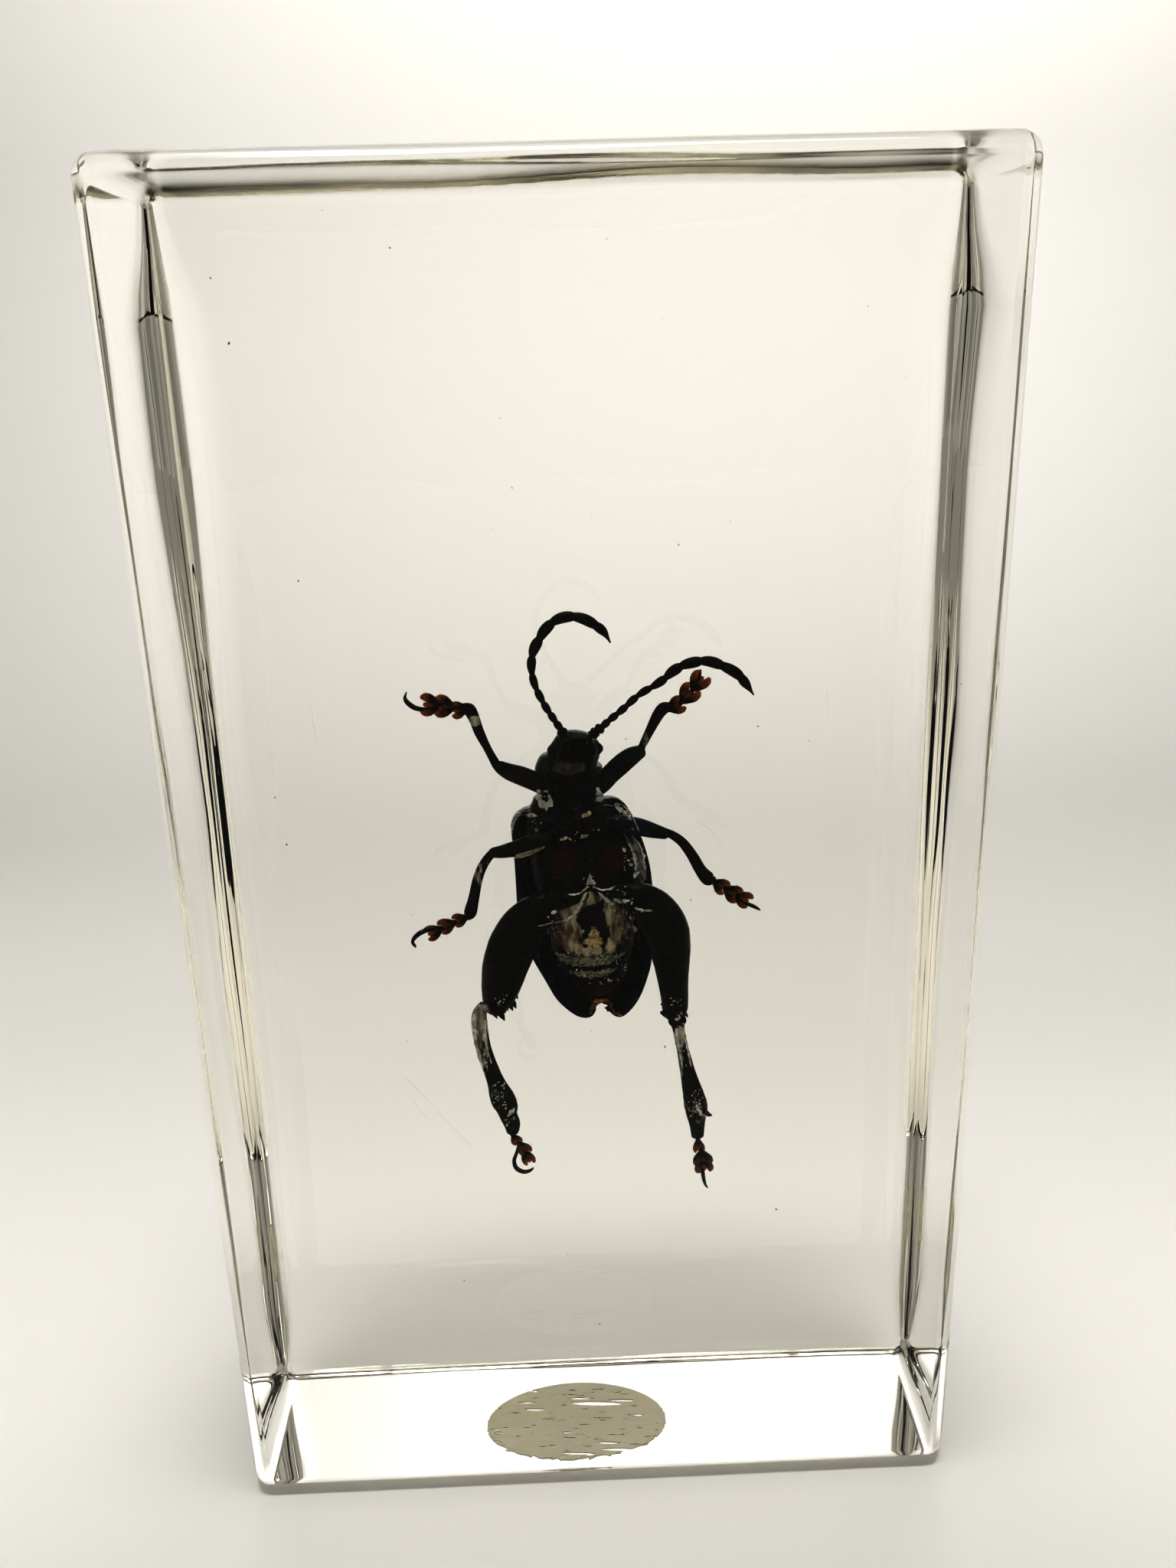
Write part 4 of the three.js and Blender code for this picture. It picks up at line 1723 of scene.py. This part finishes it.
@dataclass
class SpecimenBlock:
    """The cast block and its label, on the sizes that the CAD frame gives."""

    front_radius: float = 1.2
    rear_radius_top: float = 2.8  # the rear upright edges were broken more, most of all near the top
    rear_radius_foot: float = 1.5
    rear_radius_ends: float = 0.9  # and less where they meet the top and the underside
    corner_steps: int = 12
    face_cells: tuple[int, int, int] = (30, 14, 52)
    wave_height: float = 0.03  # how far hand polishing leaves the faces from flat
    wave_length: float = 13.0
    glue_gap: float = 0.02  # how far the glue line lies inside the resin's underside
    glue_thickness: float = 0.02
    glue_cell: tuple[float, float] = (0.1, 0.055)
    pockets: Rows = (
        (1.35, 2.5, 1.6, 0.3), (0.3, 3.35, 0.9, 0.14), (3.0, 2.8, 0.9, 0.16), (0.0, -4.6, 1.0, 0.16),
        (2.6, -4.3, 1.1, 0.2), (2.0, -3.3, 0.7, 0.14), (-2.7, 2.0, 0.7, 0.16), (-3.2, 3.1, 0.6, 0.14),
    )  # air pockets in the glue: X and Y from the label's middle, half length and half width
    pocket_lean: float = -0.12  # how far the pockets run from the X axis
    scratches: tuple[Rows, ...] = (
        ((6.3, 40.4), (7.2, 39.7), (7.7, 38.8)), ((-10.6, 25.6), (-8.6, 22.9), (-6.9, 20.6)),
        ((-10.2, 24.0), (-9.4, 22.6)), ((-13.9, 47.5), (-13.6, 45.0)), ((13.2, 47.6), (13.3, 45.9)),
    )  # landmarks of the hairlines
    scratch_depth: float = 0.16  # inside the front face
    scratch_half: tuple[float, float] = (0.012, 0.006)
    speck_margin: tuple[float, float, float] = (1.5, 1.2, 1.5)  # specks keep this far inside the faces
    speck_count: int = 120
    speck_least: float = 0.01
    speck_most: float = 0.07
    speck_seed: int = 5
    resin: CastResin = field(default_factory=CastResin)
    film: LabelFilm = field(default_factory=LabelFilm)

    def _stations(self, cells: int) -> list[tuple[float, float]]:
        """Lays out one axis of the rounded box.

        Args:
            cells: how many cells the flat stretch has.

        Returns:
            Pairs of the place along the flat stretch, from -1 to 1, and the lean over the edge.
        """
        steps = self.corner_steps
        rising = [math.tan(math.pi / 4 * i / steps) for i in range(steps, 0, -1)]
        middle = [(2 * i / cells - 1, 0.0) for i in range(cells + 1)]
        return [(-1.0, -r) for r in rising] + middle + [(1.0, r) for r in reversed(rising)]

    def _radius(self, core: Vector) -> float:
        """Says how far the edges are rounded near a place.

        Args:
            core: the place as shares of the box, each from -1 to 1.

        Returns:
            The edge radius in millimetres.
        """
        rise = (core.z + 1) / 2
        rear = self.rear_radius_foot + (self.rear_radius_top - self.rear_radius_foot) * rise ** 1.3
        rear *= 1 + 0.12 * noise.noise(Vector((core.x * 2.0, core.y, core.z * 2.3)))
        rear += (self.rear_radius_ends - rear) * ease(0.88, 1.0, abs(core.z))
        return self.front_radius + (rear - self.front_radius) * ease(-0.6, 1.0, core.y)

    def _surface_point(self, core: Vector, lean: Vector, normal_axis: int, side: int) -> Vector:
        """Rounds one grid point of a face of the box.

        Args:
            core: the place as shares of the box, each from -1 to 1.
            lean: how far towards the neighbouring faces the point leans, by axis.
            normal_axis: the axis of the face.
            side: -1 or 1, the side of the box.

        Returns:
            The point on the rounded surface, in millimetres.
        """
        way = lean.copy()
        way[normal_axis] = side
        way.normalize()
        radius = self._radius(core)
        inner = Vector([core[i] * (BLOCK_SIZE[i] / 2 - radius) for i in range(3)])
        point = BLOCK_CENTRE + inner + way * radius
        at = point / self.wave_length
        wave = 0.6 + noise.noise(at + way * 3.1) + 0.35 * noise.noise(at * 3.3 + way * 1.7)
        return point - way * (self.wave_height * wave * ease(-0.98, -0.8, way.z))

    def build_resin(self) -> Object:
        """Builds the polished block as one closed rounded box, slightly uneven as buffing leaves it.

        Returns:
            The block, which stands for the CAD one.
        """
        points: list[Vector] = []
        faces: list[tuple[int, ...]] = []
        for axis in range(3):
            across, along = ((1, 2), (2, 0), (0, 1))[axis]
            rows = self._stations(self.face_cells[across])
            columns = self._stations(self.face_cells[along])
            for side in (-1, 1):
                start = len(points)
                for core_a, lean_a in rows:
                    for core_b, lean_b in columns:
                        core, lean = Vector((0, 0, 0)), Vector((0, 0, 0))
                        core[axis] = side
                        core[across], core[along] = core_a, core_b
                        lean[across], lean[along] = lean_a, lean_b
                        points.append(self._surface_point(core, lean, axis, side))
                width = len(columns)
                for i in range(len(rows) - 1):
                    for j in range(width - 1):
                        a = start + i * width + j
                        faces.append((a, a + width, a + width + 1, a + 1))
        return to_object("cast_resin_block", points, faces, self.resin.material())

    def _glued(self, x: float, y: float, radius: float) -> bool:
        """Says whether the glue wets the resin at a place under the label.

        Args:
            x: X from the label's middle, in millimetres.
            y: Y from the label's middle.
            radius: the label's radius.

        Returns:
            False outside the label and in its air pockets.
        """
        out = math.hypot(x, y) / radius
        torn = abs(noise.noise(Vector((x * 1.6, y * 1.6, 0.4))))
        if out > 0.985 - ease(0.35, 1.0, -y / radius) * (0.03 + 0.12 * torn):
            return False
        for pocket_x, pocket_y, long, wide in self.pockets:
            along, across = x - pocket_x, y - pocket_y - self.pocket_lean * (x - pocket_x)
            if (along / long) ** 2 + (across / wide) ** 2 < 1:
                return False
        drawn = Vector((x * 0.9, (y - self.pocket_lean * x) * 4.5, 7.0))
        return noise.noise(drawn) + 0.5 * noise.noise(drawn * 2.3) < 0.52

    def build_glue(self) -> Object:
        """Builds the glue line, which joins label and resin so that the label shows from above.

        Returns:
            The glue line.
        """
        centre = (LABEL_LOW + LABEL_HIGH) / 2
        radius = (LABEL_HIGH.x - LABEL_LOW.x) / 2
        low = BLOCK_LOW.z + self.glue_gap
        step_x, step_y = self.glue_cell
        across, along = math.ceil(radius / step_x), math.ceil(radius / step_y)
        kept = {(i, j) for i in range(-across, across) for j in range(-along, along)
                if self._glued((i + 0.5) * step_x, (j + 0.5) * step_y, radius)}
        index: dict[tuple[int, int, int], int] = {}
        points: list[tuple[float, float, float]] = []
        faces: list[tuple[int, ...]] = []

        def corner(i: int, j: int, level: int) -> int:
            """Numbers a grid corner, which it adds at its first use.

            Args:
                i: the corner's column.
                j: its row.
                level: 0 on the glue line's underside and 1 on its top.

            Returns:
                The corner's index among the points.
            """
            if (i, j, level) not in index:
                index[i, j, level] = len(points)
                high = low + level * self.glue_thickness
                points.append((centre.x + i * step_x, centre.y + j * step_y, high))
            return index[i, j, level]

        for i, j in sorted(kept):
            ring = ((i, j), (i + 1, j), (i + 1, j + 1), (i, j + 1))
            faces.append(tuple(corner(*spot, 1) for spot in ring))
            faces.append(tuple(corner(*spot, 0) for spot in reversed(ring)))
            beyond = ((i, j - 1), (i + 1, j), (i, j + 1), (i - 1, j))
            for k, neighbour in enumerate(beyond):
                if neighbour not in kept:
                    a, b = ring[k], ring[(k + 1) % 4]
                    faces.append((corner(*a, 0), corner(*b, 0), corner(*b, 1), corner(*a, 1)))
        return to_object("label_glue_line", points, faces, self.film.material(), smooth=False)

    def build_scratches(self) -> Object:
        """Builds the hairline scratches on the broad front face.

        Returns:
            All scratches as one piece.
        """
        y = BLOCK_LOW.y + self.scratch_depth
        skin = Skin()
        for path in self.scratches:
            skin.loft(spots(*((x, z, y, *self.scratch_half) for x, z in path)), sides=6, samples=24)
        return skin.make("surface_scratches", HairlineScratch().material())

    def build_specks(self) -> Object:
        """Scatters the dust and pinhole bubbles that were cast in.

        Returns:
            All specks as one piece.
        """
        margin = Vector(self.speck_margin)
        return grow("cast_in_specks", guide("cast_in_specks", [(0, 0, 0)]), speck_tree(), False, {
            "Count": self.speck_count, "Low": (BLOCK_LOW + margin) * MM, "High": (BLOCK_HIGH - margin) * MM,
            "Least": self.speck_least * MM, "Most": self.speck_most * MM, "Seed": self.speck_seed,
            "Material": DustGrain().material(),
        })

    def dress(self) -> None:
        """Builds the block, dresses the label and puts the new pieces on the body."""
        settle(self.build_resin(), "resin", "resin_block")
        settle(self.build_glue(), "label")
        settle(self.build_scratches(), "resin")
        settle(self.build_specks(), "resin")
        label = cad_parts["underside_label"]
        label.data.materials.clear()
        label.data.materials.append(self.film.material())


# ---------------------------------------------------------------- studio and camera


@dataclass(frozen=True)
class Softbox:
    """A large soft lamp hung above the set."""

    name: str
    size: tuple[float, float]
    place: tuple[float, float, float]
    aim: tuple[float, float, float]
    watts: float
    spread: float  # degrees that its grid lets the light open to
    tint: str = "fffdfa"

    def hang(self) -> None:
        """Adds the lamp to the scene."""
        lamp = bpy.data.lights.new(self.name, "AREA")
        lamp.shape, lamp.size, lamp.size_y = "RECTANGLE", self.size[0] * MM, self.size[1] * MM
        lamp.spread = math.radians(self.spread)
        lamp.energy, lamp.color = self.watts, linear(self.tint)[:3]
        hung = link(self.name, lamp)
        place, aim = Vector(self.place) * MM, Vector(self.aim) * MM
        turn = (aim - place).to_track_quat("-Z", "Y").to_matrix().to_4x4()
        hung.matrix_world = Matrix.Translation(place) @ turn


@dataclass
class Studio:
    """Plain pale floor, soft light that is brightest behind the block, and the camera."""

    lens_px: float = 1578.0  # focal length, in pixels of a frame of FRAME_HEIGHT_PX
    sensor_mm: float = 36.0
    yaw: float = 0.0199
    pitch: float = 0.311
    roll: float = -0.0284
    floor_reach: float = 900.0  # how far the board runs to each side and to the front
    floor_near: float = -200.0
    sweep_steps: int = 24
    sweep_start: float = 95.0  # where the board starts to curve up behind the block
    sweep_radius: float = 110.0
    sweep_height: float = 520.0
    room_level: float = 0.16  # how bright the room is in front of the block
    wall_level: float = 0.3  # and at its sides and behind it
    ceiling_level: float = 0.185
    boxes: tuple[Softbox, ...] = (
        Softbox("wall_softbox", (320.0, 150.0), (70.0, 50.0, 330.0), (40.0, 205.0, 175.0), 0.288, 90.0),
        Softbox("front_softbox", (700.0, 20.0), (0.0, -16.0, 200.0), (0.0, -8.0, 0.0), 0.050, 32.0),
        Softbox("rear_softbox", (700.0, 30.0), (0.0, 50.0, 200.0), (0.0, 42.0, 0.0), 0.042, 40.0),
    )
    floor: StudioFloor = field(default_factory=StudioFloor)

    def build_camera(self) -> None:
        """Places the camera close to the block and a little below its top."""
        data = bpy.data.cameras.new("camera")
        data.sensor_width = self.sensor_mm
        data.lens = self.lens_px / FRAME_HEIGHT_PX * self.sensor_mm
        data.clip_start, data.clip_end = 0.002, 50
        ahead = Vector((math.sin(self.yaw) * math.cos(self.pitch),
                        math.cos(self.yaw) * math.cos(self.pitch), -math.sin(self.pitch)))
        right = Vector((math.cos(self.yaw), -math.sin(self.yaw), 0))
        up = right.cross(ahead)
        tilted_right = right * math.cos(self.roll) + up * math.sin(self.roll)
        tilted_up = up * math.cos(self.roll) - right * math.sin(self.roll)
        turn = Matrix((tilted_right, tilted_up, -ahead)).transposed()
        camera = link("camera", data)
        camera.matrix_world = Matrix.Translation(SIGHT.eye * MM) @ turn.to_4x4()
        bpy.context.scene.camera = camera

    def build_floor(self) -> None:
        """Lays the pale board under the block and curves it up behind it."""
        profile = [(-self.floor_reach, 0.0), (self.floor_near, 0.0), (0.0, 0.0)]
        for i in range(self.sweep_steps + 1):
            turn = math.pi / 2 * i / self.sweep_steps
            profile.append((self.sweep_start + self.sweep_radius * math.sin(turn),
                            self.sweep_radius * (1 - math.cos(turn))))
        profile.append((self.sweep_start + self.sweep_radius, self.sweep_height))
        points = [(x, y, z) for y, z in profile for x in (-self.floor_reach, self.floor_reach)]
        faces = [(2 * i, 2 * i + 1, 2 * i + 3, 2 * i + 2) for i in range(len(profile) - 1)]
        floor = to_object("floor", points, faces, self.floor.material(), closed=False)

    def build_light(self) -> None:
        """Sets a soft world that is pale at the sides and above and dark in front, and hangs the lamps."""
        world = bpy.data.worlds.new("soft_room")
        world.use_nodes = True
        tree = world.node_tree
        tree.nodes.clear()
        parts = add_node(tree, "ShaderNodeSeparateXYZ",
                         Vector=add_node(tree, "ShaderNodeTexCoord").outputs["Generated"])
        behind = add_node(tree, "ShaderNodeMapRange", SMOOTH, Value=parts.outputs["Y"], in_1=-0.5,
                          in_2=-0.05, in_3=self.room_level, in_4=self.wall_level)
        above = add_node(tree, "ShaderNodeMapRange", SMOOTH, Value=parts.outputs["Z"], in_1=0.25,
                         in_2=0.95, in_3=0.0, in_4=self.ceiling_level)
        both = add_node(tree, "ShaderNodeMath", {"operation": "MAXIMUM"}, in_0=behind, in_1=above)
        sky = add_node(tree, "ShaderNodeBackground", Color=linear("fffdf8"), Strength=both)
        add_node(tree, "ShaderNodeOutputWorld", Surface=sky)
        bpy.context.scene.world = world
        for box in self.boxes:
            box.hang()
        bpy.context.scene.view_settings.view_transform = "Standard"
        bpy.context.scene.view_settings.look = "High Contrast"

    def build(self) -> None:
        """Builds the whole studio."""
        self.build_camera()
        self.build_floor()
        self.build_light()


def main() -> None:
    """Builds the studio, the block and the beetle in it, and reports each piece."""
    logging.basicConfig(level=logging.INFO, format="%(name)s: %(message)s")
    Studio().build()
    SpecimenBlock().dress()
    SealedBeetle().build()


if __name__ == "__main__":
    main()
